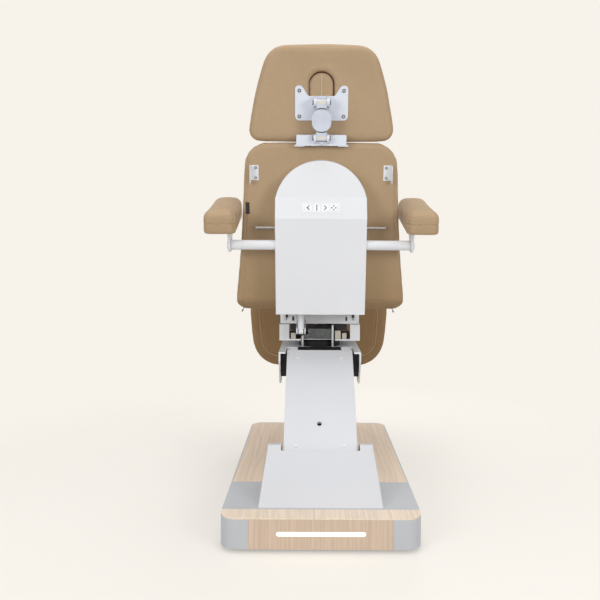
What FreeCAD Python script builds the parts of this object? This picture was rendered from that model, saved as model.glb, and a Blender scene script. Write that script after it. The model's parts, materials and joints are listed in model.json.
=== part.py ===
import FreeCAD, Part
import math
import os
from types import SimpleNamespace
from FreeCAD import Placement, Rotation, Vector

# Electric treatment chair on a single lifting arm, in millimetres, +Z up, +Y towards the foot end.
doc = FreeCAD.newDocument("treatment_chair")
sheet = doc.addObject("Spreadsheet::Sheet", "Dimensions")

DIMENSIONS = {
    # base
    "base_width": 600,
    "base_length": 1050,
    "base_corner": 50,
    "base_bottom": 12,
    "base_height": 93,
    "shell_wall": 9,
    "shell_cavity": 85,
    "panel_thick": 5,
    "rim_depth": 63,
    "band_depth": 230,
    "rear_panel_width": 427,
    "rear_panel_height": 86,
    "lens_length": 263,
    "lens_height": 12.5,
    "lens_level": 57,
    "frame_height": 40,
    "frame_bottom": 16,
    "frame_hollow": 36,
    "foot_radius": 22,
    "foot_height": 16,
    "pivot_plate": 8,
    "hood_rise": 147,
    "hood_gap": 258,
    "inlet_depth": 22,
    "inlet_blade": 11,
    # lifting arm
    "arm_length": 500,
    "arm_angle": 43.7,
    "arm_width": 245,
    "arm_inner_width": 235,
    "arm_cover_thick": 3,
    "access_radius": 8.5,
    "access_depth": 10,
    "arm_boss_length": 22,
    "lug_thick": 5,
    "bush_length": 28,
    "cap_height": 2.5,
    "link_thick": 10,
    "arm_pin_length": 280,
    "head_pin_length": 314,
    "pin_head": 4,
    "link_pin_length": 38,
    "drive_pin_length": 48,
    # head
    "head_plate": 6,
    "cheek_thick": 6,
    "link_lug": 8,
    "guard_thick": 21.7,
    "race_height": 14,
    # carriage
    "carriage_width": 312,
    "carriage_floor": 6,
    "carriage_wall": 6,
    "post_thick": 4,
    "zinc_thick": 4,
    "zinc_flange": 7,
    "zinc_short_flange": 43,
    "zinc_tall_flange": 84,
    # seat
    "seat_tilt": 12,
    "seat_board_thick": 12,
    "seat_foam": 66,
    "rail_width": 35,
    "cross_plate": 6,
    "cross_width": 304,
    "rail_gap": 224,
    "ear_thick": 8,
    "crank_thick": 5,
    "hinge_pin_length": 23,
    "tilt_pin_length": 22,
    "crank_pin_length": 38,
    # backrest
    "back_lean": 14,
    "back_thick": 90,
    "back_plate": 5.5,
    "cover_depth": 95.5,
    "cover_inner_depth": 94,
    "cover_hole": 60,
    "cover_radius": 164,
    "key_panel_thick": 4,
    "key_depth": 6,
    "tube_radius": 17.5,
    "bar_length": 93,
    "bar_radius": 4.5,
    "bar_post": 18,
    "bar_flange": 2.5,
    "bracket_sheet": 2.5,
    "bracket_flange": 26,
    "screw_head": 2.2,
    "crossbar_width": 174,
    "crossbar_depth": 28,
    "crossbar_wall": 3,
    "crossbar_foot": 32,
    "knuckle_ear": 10,
    "ratchet_thick": 7,
    # headrest
    "head_thick": 80,
    "head_plate_thick": 4,
    "knuckle_body": 24,
    "knuckle_tongue": 34,
    "knuckle_pin_length": 62.8,
    # armrests and leg rest
    "armrest_tilt": 11.6,
    "armrest_splay": 3.1,
    "armrest_length": 427,
    "armrest_bar": 8,
    "armrest_foot": 4,
    "leg_thick": 86,
    "leg_plate": 6,
    # drives
    "lift_tube": 280,
    "lift_bore": 240,
    "lift_rod_length": 240,
    "lift_eye": 20,
    "rod_eye": 18,
    "lift_gear": 48,
    "lift_motor": 110,
    "back_tube": 280,
    "back_bore": 275,
    "back_rod_length": 260,
    "back_motor": 130,
    "back_gear": 30,
    "tilt_tube": 90,
    "tilt_bore": 95,
    "tilt_rod_length": 142,
    "tilt_gear": 36,
    "tilt_motor": 88,
    "tilt_eye": 15,
    # rounding
    "cushion_edge": 24,
    "armrest_edge": 22,
    "small_edge": 1.5,
}

for row, (alias, size) in enumerate(DIMENSIONS.items(), start=1):
    sheet.set(f"A{row}", alias)
    sheet.set(f"B{row}", str(size))
    sheet.setAlias(f"B{row}", alias)
doc.recompute()
dim = SimpleNamespace(**{alias: float(sheet.get(alias)) for alias in DIMENSIONS})

# Pivot lines of the chair as (Y, Z), measured from the middle of the base on the floor.
ARM_FOOT = (-299.6, 131.3)
LINK_OFFSET = (70.0, -10.0)
SWIVEL_Y = 180.0
TILT_PIVOT = (300.0, 640.0)
TILT_CRANK = (300.0, 575.0)
BACK_HINGE = (37.0, 662.0)
BACK_ROD_EYE = (-16.0, 591.7)
BACK_ROD_X = -71.0
LEG_HINGE = (545.0, 778.0)
ARMREST_AXIS = (-137.0, 910.0)
LIFT_DRIVE_FOOT = (330.0, 75.0)
BASE_REAR = -dim.base_length / 2
BASE_FRONT = dim.base_length / 2
DECK_TOP = dim.base_bottom + dim.base_height
LEG_REAR = 509.0

PLANES = {"XY": ("XY_Plane", 1), "XZ": ("XZ_Plane", -1), "YZ": ("YZ_Plane", 1)}
parts = []


def leaning(y, z, angle):
    return Placement(Vector(0, y, z), Rotation(Vector(1, 0, 0), angle))


# The rest footprint is centred on the origin along Y.
WORLD = Placement(Vector(0, -(LEG_REAR + dim.leg_thick + BASE_REAR) / 2, 0), Rotation())
FLOOR = Placement()
ARM = leaning(*ARM_FOOT, dim.arm_angle)
SEAT = leaning(96, 668, dim.seat_tilt)
BACK = leaning(-2, 668, dim.back_lean)
ARMREST = leaning(*ARMREST_AXIS, dim.armrest_tilt)


def seen_from(frame, point):
    local = frame.inverse().multVec(Vector(0, *point))
    return local.y, local.z


def seen_from_floor(frame, point):
    spot = frame.multVec(Vector(0, *point))
    return spot.y, spot.z


def shifted(point, step):
    return point[0] + step[0], point[1] + step[1]


# Outlines

def outline(corners):
    """Closed loop through (a, b) corners; a third value is that corner's radius."""
    spots = [Vector(corner[0], corner[1], 0) for corner in corners]
    cuts = []
    for index, corner in enumerate(corners):
        here = spots[index]
        if len(corner) < 3:
            cuts.append((here, None, here))
            continue
        back = (spots[index - 1] - here).normalize()
        ahead = (spots[(index + 1) % len(spots)] - here).normalize()
        half = back.getAngle(ahead) / 2
        reach = corner[2] / math.tan(half)
        middle = (back + ahead).normalize()
        arc_middle = here + middle * (corner[2] / math.sin(half) - corner[2])
        cuts.append((here + back * reach, arc_middle, here + ahead * reach))
    edges = []
    for index, (start, arc_middle, end) in enumerate(cuts):
        if arc_middle is not None:
            edges.append(Part.Arc(start, arc_middle, end))
        following = cuts[(index + 1) % len(cuts)][0]
        if end.distanceToPoint(following) > 1e-4:
            edges.append(Part.LineSegment(end, following))
    return edges


def rectangle(left, low, right, high, radius=None):
    corners = [(left, low), (right, low), (right, high), (left, high)]
    if radius:
        corners = [corner + (radius,) for corner in corners]
    return outline(corners)


def mirrored(half):
    """Full outline from its right-hand half, listed from the bottom up."""
    return outline(half + [(-corner[0],) + tuple(corner[1:]) for corner in reversed(half)])


def circle(centre, radius):
    return [Part.Circle(Vector(centre[0], centre[1], 0), Vector(0, 0, 1), radius)]


def ear(first, second, tip, radius):
    """Plate from the edge first-second that narrows to a round end about tip."""
    centre = Vector(tip[0], tip[1], 0)
    roots = [Vector(first[0], first[1], 0), Vector(second[0], second[1], 0)]
    touches = []
    for root, other in ((roots[0], roots[1]), (roots[1], roots[0])):
        away = root - centre
        heading = math.atan2(away.y, away.x)
        swing = math.acos(radius / away.Length)
        choices = []
        for side in (1, -1):
            turn = heading + side * swing
            choices.append(centre + Vector(math.cos(turn), math.sin(turn), 0) * radius)
        touches.append(max(choices, key=other.distanceToPoint))
    outward = (centre - (roots[0] + roots[1]) * 0.5).normalize()
    return [
        Part.LineSegment(roots[0], touches[0]),
        Part.Arc(touches[0], centre + outward * radius, touches[1]),
        Part.LineSegment(touches[1], roots[1]),
        Part.LineSegment(roots[1], roots[0]),
    ]


def rounded_bar(first, second, radius):
    """Bar with full round ends about two points."""
    start = Vector(first[0], first[1], 0)
    end = Vector(second[0], second[1], 0)
    along = (end - start).normalize()
    side = Vector(-along.y, along.x, 0) * radius
    return [
        Part.LineSegment(start - side, end - side),
        Part.Arc(end - side, end + along * radius, end + side),
        Part.LineSegment(end + side, start + side),
        Part.Arc(start + side, start - along * radius, start - side),
    ]


# Features

def new_body(label, frame=FLOOR, listed=True):
    item = doc.addObject("PartDesign::Body", label)
    item.Label = label
    item.AllowCompound = True
    item.Placement = WORLD.multiply(frame)
    if listed:
        parts.append(item)
    return item


def sketch(item, plane, loops, level):
    role, sign = PLANES[plane]
    drawing = item.newObject("Sketcher::SketchObject", item.Name + "_sketch")
    support = next(feature for feature in item.Origin.OriginFeatures if feature.Role == role)
    drawing.AttachmentSupport = (support, [""])
    drawing.MapMode = "FlatFace"
    drawing.AttachmentOffset = Placement(Vector(0, 0, sign * level), Rotation())
    for loop in loops:
        for edge in loop:
            drawing.addGeometry(edge, False)
    return drawing


def extrude(item, kind, plane, loops, start, size):
    """Pad or pocket from start, over the length held in one cell."""
    feature_level = start + getattr(dim, size) / 2
    drawing = sketch(item, plane, loops, feature_level)
    feature = item.newObject("PartDesign::" + kind, f"{item.Name}_{kind.lower()}")
    feature.Profile = drawing
    feature.SideType = "Symmetric"
    feature.setExpression("Length", "Dimensions." + size)
    return feature


def pad(item, plane, loops, start, size):
    return extrude(item, "Pad", plane, loops, start, size)


def pocket(item, plane, loops, start, size):
    return extrude(item, "Pocket", plane, loops, start, size)


def pad_centred(item, plane, loops, size, middle=0.0):
    return pad(item, plane, loops, middle - getattr(dim, size) / 2, size)


def pocket_centred(item, plane, loops, size, middle=0.0):
    return pocket(item, plane, loops, middle - getattr(dim, size) / 2, size)


def drill(item, plane, loops):
    feature = item.newObject("PartDesign::Pocket", item.Name + "_through")
    feature.Profile = sketch(item, plane, loops, 0)
    feature.SideType = "Symmetric"
    feature.Type = "ThroughAll"
    return feature


def pad_both_sides(item, loop, inner, size, middle=0.0):
    """The same side outline at +inner and mirrored at -inner along X."""
    pad(item, "YZ", [loop], middle + inner, size)
    pad(item, "YZ", [loop], middle - inner - getattr(dim, size), size)


def loft(item, kind, sections):
    drawings = [sketch(item, "XY", [loop], level) for loop, level in sections]
    feature = item.newObject("PartDesign::" + kind, f"{item.Name}_{kind.lower()}")
    feature.Profile = drawings[0]
    feature.Sections = drawings[1:]
    feature.Ruled = True
    return feature


def round_edges(item, size, wanted=None):
    doc.recompute()
    base = item.Tip
    names = []
    for number, edge in enumerate(base.Shape.Edges, start=1):
        if wanted is None or wanted(edge):
            names.append(f"Edge{number}")
    feature = item.newObject("PartDesign::Fillet", item.Name + "_fillet")
    feature.Base = (base, names)
    feature.setExpression("Radius", "Dimensions." + size)
    return feature


def at_level(plane_value, axis):
    """Picks edges that lie whole at one coordinate of the body."""
    def wanted(edge):
        box = edge.BoundBox
        low, high = (box.YMin, box.YMax) if axis == "Y" else (box.ZMin, box.ZMax)
        return abs(low - plane_value) < 1e-3 and abs(high - plane_value) < 1e-3
    return wanted


# Base

ARM_OPENING = rectangle(-140, -405, 140, -125, 8)
DRIVE_OPENING = rectangle(-45, 175, 45, 380, 8)
INLET_X = 170.0


def base_shell():
    item = new_body("base_shell")
    half = dim.base_width / 2
    inset = dim.shell_wall
    plan = rectangle(-half, BASE_REAR, half, BASE_FRONT, dim.base_corner)
    pad(item, "XY", [plan], dim.base_bottom, "base_height")
    reach = BASE_FRONT - inset
    cavity = rectangle(-half + inset, -reach, half - inset, reach, dim.base_corner - inset)
    pocket(item, "XY", [cavity], dim.base_bottom, "shell_cavity")
    ledge = DECK_TOP - dim.panel_thick
    pocket(item, "XY", [rectangle(-400, -700, 400, BASE_REAR + dim.rim_depth)], ledge, "panel_thick")
    pocket(item, "XY", [deck_outline()], ledge, "panel_thick")
    face = dim.rear_panel_width / 2
    recess = rectangle(-face, -20, face, dim.base_bottom + dim.rear_panel_height + 2)
    pocket(item, "XZ", [recess], BASE_REAR, "panel_thick")
    drill(item, "XY", [ARM_OPENING])
    drill(item, "XY", [DRIVE_OPENING])
    pocket(item, "XZ", [inlet_outline(0.05)], BASE_FRONT - dim.inlet_depth, "inlet_depth")


def inlet_outline(gap):
    return rectangle(INLET_X - 24 - gap, 42 - gap, INLET_X + 24 + gap, 70 + gap, 3)


def deck_outline():
    half = dim.base_width / 2 - 5
    rear = BASE_REAR + dim.rim_depth + dim.band_depth
    front = BASE_FRONT - 5
    return outline([(-half, rear), (half, rear), (half, front, 45), (-half, front, 45)])


def deck_panel():
    item = new_body("deck_panel")
    pad(item, "XY", [deck_outline()], DECK_TOP - dim.panel_thick, "panel_thick")
    drill(item, "XY", [ARM_OPENING])
    drill(item, "XY", [DRIVE_OPENING])


def rim_strip():
    item = new_body("rim_strip")
    half = dim.base_width / 2
    front = BASE_REAR + dim.rim_depth
    corner = dim.base_corner
    strip = outline([(-half, BASE_REAR, corner), (half, BASE_REAR, corner), (half, front), (-half, front)])
    pad(item, "XY", [strip], DECK_TOP - dim.panel_thick, "panel_thick")


def lens_outline(gap):
    reach = (dim.lens_length - dim.lens_height) / 2
    radius = dim.lens_height / 2 + gap
    return rounded_bar((-reach, dim.lens_level), (reach, dim.lens_level), radius)


def rear_panel():
    item = new_body("rear_panel")
    face = dim.rear_panel_width / 2 - 0.4
    board = rectangle(-face, dim.base_bottom, face, dim.base_bottom + dim.rear_panel_height + 1.6, 1)
    pad(item, "XZ", [board, lens_outline(0.2)], BASE_REAR, "panel_thick")


def led_lens():
    item = new_body("led_lens")
    pad(item, "XZ", [lens_outline(0)], BASE_REAR, "panel_thick")
    round_edges(item, "small_edge", at_level(BASE_REAR, "Y"))


def base_frame():
    item = new_body("base_frame")
    ladder = [
        rectangle(-235, -480, 235, 400, 6),
        rectangle(-185, -430, 185, -350, 6),
        rectangle(-185, -200, 185, 290, 6),
    ]
    pad(item, "XY", ladder, dim.frame_bottom, "frame_height")
    channel = [
        rectangle(-231, -476, 231, 396, 4),
        rectangle(-189, -434, 189, -346, 8),
        rectangle(-189, -204, 189, 294, 8),
    ]
    pocket(item, "XY", channel, dim.frame_bottom, "frame_hollow")
    top = dim.frame_bottom + dim.frame_height
    pad_both_sides(item, ear((-348, top - 2), (-248, top - 2), ARM_FOOT, 24), 128, "pivot_plate")
    link_foot = shifted(ARM_FOOT, LINK_OFFSET)
    pad_both_sides(item, ear((-262, top - 2), (-202, top - 2), link_foot, 15), 7, "link_lug", 65)
    pad_both_sides(item, ear((312, top - 2), (348, top - 2), LIFT_DRIVE_FOOT, 16), 12, "link_lug")
    drill(item, "YZ", [circle(ARM_FOOT, 9.02)])
    drill(item, "YZ", [circle(link_foot, 7.02)])
    drill(item, "YZ", [circle(LIFT_DRIVE_FOOT, 6.02)])


def levelling_feet():
    item = new_body("levelling_feet")
    discs = [circle((x, y), dim.foot_radius) for x in (-208, 208) for y in (-454, 374)]
    pad(item, "XY", discs, 0, "foot_height")
    round_edges(item, "small_edge", at_level(0, "Z"))


def hood_section(half, rear, front, corner):
    return rectangle(-half, rear, half, front, corner)


def hood():
    item = new_body("hood")
    top = DECK_TOP + dim.hood_rise
    loft(item, "AdditiveLoft", [
        (hood_section(191.5, -451.5, -120, 4), DECK_TOP),
        (hood_section(172.3, -302, -284, 4), top),
    ])
    slope = 3 * 149.5 / dim.hood_rise
    loft(item, "SubtractiveLoft", [
        (hood_section(188.5, -447.3, -123.4, 2), DECK_TOP),
        (hood_section(169.7, -302 + 4.2 - slope, -284 - 3.4 + slope, 2), top - 3),
    ])
    half = dim.hood_gap / 2
    drill(item, "XY", [outline([(-half, -317, 4), (half, -317, 4), (half, -60), (-half, -60)])])


def mains_inlet():
    item = new_body("mains_inlet")
    start = BASE_FRONT - dim.inlet_depth
    pad(item, "XZ", [inlet_outline(0)], start, "inlet_depth")
    socket = outline([
        (INLET_X - 14, 47, 2), (INLET_X + 14, 47, 2), (INLET_X + 14, 60), (INLET_X + 9, 65),
        (INLET_X - 9, 65), (INLET_X - 14, 60),
    ])
    pocket(item, "XZ", [socket], start + 4, "inlet_depth")
    spots = [(INLET_X - 7, 54), (INLET_X, 58), (INLET_X + 7, 54)]
    blades = [rectangle(x - 1, z - 2, x + 1, z + 2) for x, z in spots]
    pad(item, "XZ", blades, start + 3, "inlet_blade")


def cross_pin(label, frame, pivot, radius, size, middle=0.0, head=4.0):
    """Round pin along X with a flat head at both ends."""
    item = new_body(label, frame)
    add_pin(item, pivot, radius, size, middle, head)
    return item


def add_pin(item, pivot, radius, size, middle=0.0, head=4.0):
    length = getattr(dim, size)
    pad_centred(item, "YZ", [circle(pivot, radius)], size, middle)
    for end in (middle - length / 2, middle + length / 2 - dim.pin_head):
        pad(item, "YZ", [circle(pivot, radius + head)], end, "pin_head")


# Lifting arm

ACCESS_SPOT = (-3.0, 168.0)


def arm_box():
    item = new_body("arm_box", ARM)
    far = dim.arm_length
    side = [
        (-10, -34, 20), (10, -35), (far - 40, -35), (far + 4, -24, 14), (far + 24, -12, 14),
        (far + 24, 24, 22), (far - 18, 26), (far - 18, 72), (20, 72), (-34, 20, 30), (-34, -10, 20),
    ]
    pad_centred(item, "YZ", [outline(side)], "arm_width")
    inside = [
        (-60, -60), (far + 60, -60), (far + 60, 50), (far - 24, 50), (far - 24, 66), (24, 66), (-60, -10),
    ]
    pocket_centred(item, "YZ", [outline(inside)], "arm_inner_width")
    wall = dim.arm_inner_width / 2
    for pivot in ((0, 0), (far, 0)):
        pad_both_sides(item, circle(pivot, 19), wall - dim.arm_boss_length, "arm_boss_length")
    pocket(item, "XY", [circle(ACCESS_SPOT, dim.access_radius)], 64, "access_depth")
    lug = (330, -12)
    pad_both_sides(item, ear((300, 67), (360, 67), lug, 14), 11, "lug_thick")
    for pivot, radius in (((0, 0), 12), ((far, 0), 12), (lug, 6)):
        drill(item, "YZ", [circle(pivot, radius)])


def arm_cover():
    item = new_body("arm_cover", ARM)
    half = dim.arm_width / 2
    plate = rectangle(-half, 20, half, dim.arm_length - 18, 3)
    hole = circle(ACCESS_SPOT, dim.access_radius)
    pad(item, "XY", [plate, hole], 72, "arm_cover_thick")
    round_edges(item, "small_edge", at_level(75, "Z"))
    pad(item, "XY", [circle(ACCESS_SPOT, dim.access_radius + 6), hole], 74, "cap_height")


def arm_screw_caps():
    item = new_body("arm_screw_caps", ARM)
    caps = [circle((x, s), 6) for x in (-80, 80) for s in (86, 444)]
    pad(item, "XY", caps, 75, "cap_height")
    round_edges(item, "small_edge", at_level(75 + dim.cap_height, "Z"))


def arm_bushes():
    item = new_body("arm_bushes", ARM)
    wall = dim.arm_width / 2
    for pivot in ((0, 0), (dim.arm_length, 0)):
        sleeve = circle(pivot, 12) + circle(pivot, 9.05)
        pad_both_sides(item, sleeve, wall - dim.bush_length + 1, "bush_length")


def level_link():
    item = new_body("level_link", ARM)
    foot = seen_from(ARM, shifted(ARM_FOOT, LINK_OFFSET))
    tip = (foot[0] + dim.arm_length, foot[1])
    bar = rounded_bar(foot, tip, 11)
    pad_centred(item, "YZ", [bar, circle(foot, 7.05), circle(tip, 7.05)], "link_thick", 65)


# Head

ARM_TIP = seen_from_floor(ARM, (dim.arm_length, 0))
LINK_TIP = shifted(ARM_TIP, LINK_OFFSET)
HEAD_TOP = 515.0


def head_bracket():
    item = new_body("head_bracket")
    half = 153
    plan = outline([
        (-half, -36), (-128, -36), (-128, 92, 12), (128, 92, 12), (128, -36), (half, -36),
        (half, 300, 40), (-half, 300, 40),
    ])
    pad(item, "XY", [plan, circle((0, SWIVEL_Y), 30)], HEAD_TOP - dim.head_plate, "head_plate")
    cheek = [(-36, 515), (-36, 480, 10), (36, 384, 24), (98, 384, 24), (290, 492, 20), (290, 515)]
    pad_both_sides(item, outline(cheek), half - dim.cheek_thick, "cheek_thick")
    lug = ear((LINK_TIP[0] - 26, 510), (LINK_TIP[0] + 26, 510), LINK_TIP, 14)
    pad_both_sides(item, lug, 7, "link_lug", 65)
    drill(item, "YZ", [circle(ARM_TIP, 9.02)])
    drill(item, "YZ", [circle(LINK_TIP, 7.02)])


def head_guards():
    item = new_body("head_guards")
    guard = [(-10, 508), (-10, 440, 8), (22, 414, 8), (92, 414, 8), (92, 508)]
    pad_both_sides(item, outline(guard), 125.3, "guard_thick")
    drill(item, "YZ", [circle(ARM_TIP, 9.4)])


def swivel_race():
    item = new_body("swivel_race")
    pad(item, "XY", [circle((0, SWIVEL_Y), 83), circle((0, SWIVEL_Y), 46)], HEAD_TOP, "race_height")


# Carriage on the swivel

CARRIAGE_BOTTOM = 543.0


def swivel_turntable():
    item = new_body("swivel_turntable", Placement(Vector(0, SWIVEL_Y, 0), Rotation()))
    low = HEAD_TOP + 0.4
    face = HEAD_TOP + dim.race_height + 0.4
    turned = outline([
        (0, low), (40, low), (40, face), (83, face), (83, face + 8, 2), (74, CARRIAGE_BOTTOM),
        (0, CARRIAGE_BOTTOM),
    ])
    drawing = sketch(item, "XZ", [turned], 0)
    feature = item.newObject("PartDesign::Revolution", "swivel_turntable_turn")
    feature.Profile = drawing
    feature.ReferenceAxis = (drawing, ["V_Axis"])
    feature.Angle = 360


def carriage():
    item = new_body("carriage")
    half = dim.carriage_width / 2
    floor = outline([
        (-half, 75), (-74, 75), (-74, 104), (60, 104), (60, 75), (half, 75), (half, 360), (-half, 360),
    ])
    pad(item, "XY", [floor], CARRIAGE_BOTTOM, "carriage_floor")
    wall = [
        (75, CARRIAGE_BOTTOM), (360, CARRIAGE_BOTTOM), (360, 596, 20), (330, 658, 18), (270, 658, 18),
        (238, 606, 20), (75, 606),
    ]
    pad_both_sides(item, outline(wall), half - dim.carriage_wall, "carriage_wall")
    for side in (-1, 1):
        inner, outer = sorted((side * (half - 38), side * (half - 1)))
        pad(item, "XZ", [rectangle(inner, CARRIAGE_BOTTOM + 3, outer, 606)], 75, "post_thick")
    drill(item, "YZ", [circle(TILT_PIVOT, 8.02)])


def tilt_bracket():
    item = new_body("tilt_bracket")
    low = CARRIAGE_BOTTOM + dim.carriage_floor
    web = outline([
        (-68, low), (50, low), (50, low + 37, 2), (-45, low + 37, 3), (-45, low + 14, 4), (-68, low + 14, 3),
    ])
    pad(item, "XZ", [web], 99, "zinc_thick")
    for left, height in ((-70, "zinc_short_flange"), (47, "zinc_tall_flange")):
        pad(item, "XY", [rectangle(left, 79, left + dim.zinc_flange, 103)], 518, height)


def tilt_drive():
    item = new_body("tilt_drive")
    axis = (0, TILT_CRANK[1])
    start = 103
    pad(item, "XZ", [rectangle(-24, CARRIAGE_BOTTOM + dim.carriage_floor, 64, 598, 5)], start, "tilt_gear")
    pad(item, "XZ", [circle(axis, 16)], start + dim.tilt_gear - 2, "tilt_tube")
    pad(item, "XZ", [circle((42, axis[1]), 19)], start + dim.tilt_gear - 2, "tilt_motor")
    pocket(item, "XZ", [circle(axis, 8.05)], start + dim.tilt_gear + dim.tilt_tube - 97, "tilt_bore")


def tilt_rod():
    item = new_body("tilt_rod")
    axis = (0, TILT_CRANK[1])
    tip = TILT_CRANK[0]
    pad(item, "XZ", [circle(axis, 8)], tip - 8 - dim.tilt_rod_length, "tilt_rod_length")
    pad_centred(item, "YZ", [circle(TILT_CRANK, 12)], "tilt_eye")
    drill(item, "YZ", [circle(TILT_CRANK, 7.5)])


# Seat

SEAT_TILT = seen_from(SEAT, TILT_PIVOT)
SEAT_CRANK = seen_from(SEAT, TILT_CRANK)
SEAT_BACK_HINGE = seen_from(SEAT, BACK_HINGE)
SEAT_ROD_EYE = seen_from(SEAT, BACK_ROD_EYE)
SEAT_LEG_HINGE = seen_from(SEAT, LEG_HINGE)
RAIL_INNER = 112.0
RAIL_REAR = -28.0
RAIL_LOW = -45.0


def seat_frame():
    item = new_body("seat_frame", SEAT)
    rail = [(RAIL_REAR - 1, RAIL_LOW), (385, RAIL_LOW, 20), (395, -20), (395, 0), (RAIL_REAR - 1, 0)]
    pad_both_sides(item, outline(rail), RAIL_INNER, "rail_width")
    slots = [rectangle(x - 4, -43, x + 4, -24, 1.5) for x in (-103, 103)]
    slots += [rectangle(x - 6, -40, x + 6, -25, 5) for x in (-132, 132)]
    half = dim.cross_width / 2
    pad(item, "XZ", [rectangle(-half, -53, half, -13, 3)] + slots, RAIL_REAR - dim.cross_plate, "cross_plate")
    tie = rectangle(SEAT_CRANK[0] - 18, RAIL_LOW + 4, SEAT_CRANK[0] + 18, -6, 4)
    pad_centred(item, "YZ", [tie], "rail_gap")
    for root, high in ((RAIL_REAR - 2, -2), (RAIL_REAR + 24, -6)):
        pad_both_sides(item, ear((root, -44), (root, high), SEAT_BACK_HINGE, 12), 131, "ear_thick")
    clevis = ear((RAIL_REAR - 1, -53), (RAIL_REAR - 1, -38), SEAT_ROD_EYE, 12)
    pad_both_sides(item, clevis, 12.5, "crank_thick", BACK_ROD_X)
    tip = SEAT_LEG_HINGE
    leg_ear = [
        (390, -14), (445, -9), (tip[0] + 12, tip[1] - 12, 12), (tip[0] + 12, tip[1] + 12, 12),
        (tip[0] - 12, tip[1] + 12, 12), (447, -1), (390, -1),
    ]
    pad_both_sides(item, outline(leg_ear), 131, "ear_thick")
    lug = ear((SEAT_TILT[0] - 40, RAIL_LOW + 2), (SEAT_TILT[0] + 40, RAIL_LOW + 2), SEAT_TILT, 15)
    pad_both_sides(item, lug, 139, "ear_thick")
    crank = ear((SEAT_CRANK[0] - 17, -38), (SEAT_CRANK[0] + 17, -38), SEAT_CRANK, 12)
    pad_both_sides(item, crank, 10, "crank_thick")
    for pivot, radius in ((SEAT_TILT, 8.05), (SEAT_ROD_EYE, 5), (SEAT_CRANK, 5.52)):
        drill(item, "YZ", [circle(pivot, radius)])
    for pivot in (SEAT_BACK_HINGE, SEAT_LEG_HINGE):
        drill(item, "YZ", [circle(pivot, 7.05)])


def seat_board():
    item = new_body("seat_board", SEAT)
    pad(item, "XY", [rectangle(-285, 6, 285, 432, 40)], 0, "seat_board_thick")


def seat_cushion():
    item = new_body("seat_cushion", SEAT)
    plan = outline([(-300, 0, 36), (300, 0, 36), (300, 440, 60), (-300, 440, 60)])
    pad(item, "XY", [plan], dim.seat_board_thick, "seat_foam")
    round_edges(item, "cushion_edge", at_level(dim.seat_board_thick + dim.seat_foam, "Z"))


def tilt_pins():
    item = new_body("tilt_pins", SEAT)
    for side in (-1, 1):
        middle = side * (137 + dim.tilt_pin_length / 2)
        pad_centred(item, "YZ", [circle(SEAT_TILT, 8)], "tilt_pin_length", middle)
    add_pin(item, SEAT_CRANK, 5.5, "crank_pin_length")


def hinge_pins(label, pivot):
    item = new_body(label, SEAT)
    for side in (-1, 1):
        middle = side * (119 + dim.hinge_pin_length / 2)
        pad_centred(item, "YZ", [circle(pivot, 7)], "hinge_pin_length", middle)
    return item


# Backrest

BACK_PIVOT = seen_from(BACK, BACK_HINGE)
BACK_TUBE = seen_from(BACK, ARMREST_AXIS)
BACK_EYE = seen_from(BACK, BACK_ROD_EYE)
BACK_TOP = 620.0
COVER_LOW = 16.0
FACET_LOW = (-96.0, 367.0)
FACET_HIGH = (-64.0, 438.0)
COVER_ARCH = 397.0
COVER_APEX = (-30.0, 561.0)
BAR_SPOT = (-20.0, 319.0)


def back_frame():
    item = new_body("back_frame", BACK)
    plate = outline([(-128, 14), (128, 14), (128, 470, 60), (-128, 470, 60)])
    window = rectangle(10, 120, 90, 210, 10)
    pad(item, "XZ", [plate, window], -dim.back_plate, "back_plate")
    arm_side = ear((-24, 84), (-0.6, 84), (BACK_PIVOT[0] - 49, BACK_PIVOT[1]), 10)
    pad_both_sides(item, arm_side, 120, "ear_thick")
    root = BACK_PIVOT[0] - 50
    tongue = ear((root, BACK_PIVOT[1] - 10), (root, BACK_PIVOT[1] + 10), BACK_PIVOT, 12)
    pad_both_sides(item, tongue, 120, "ear_thick")
    saddle = ear((-1, BACK_TUBE[1] - 40), (-1, BACK_TUBE[1] + 40), BACK_TUBE, 21)
    pad_both_sides(item, saddle, 118, "ear_thick")
    drill(item, "YZ", [circle(BACK_PIVOT, 7.05)])
    drill(item, "YZ", [circle(BACK_TUBE, dim.tube_radius)])


def back_cushion():
    item = new_body("back_cushion", BACK)
    half = [(313, -1, 38), (286, 250, 500), (266, BACK_TOP, 70)]
    pad(item, "XZ", [mirrored(half)], 0, "back_thick")
    round_edges(item, "cushion_edge", lambda edge: edge.BoundBox.YLength < 1e-3)


def inset_corner(before, here, after, gap):
    """Corner of the bent line before-here-after, moved in by gap square to both legs."""
    normals = []
    for start, end in ((before, here), (here, after)):
        leg = Vector(end[0] - start[0], end[1] - start[1], 0).normalize()
        normals.append(Vector(leg.y, -leg.x, 0))
    middle = (normals[0] + normals[1]).normalize()
    reach = gap / middle.dot(normals[0])
    return here[0] + middle.x * reach, here[1] + middle.y * reach


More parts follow.
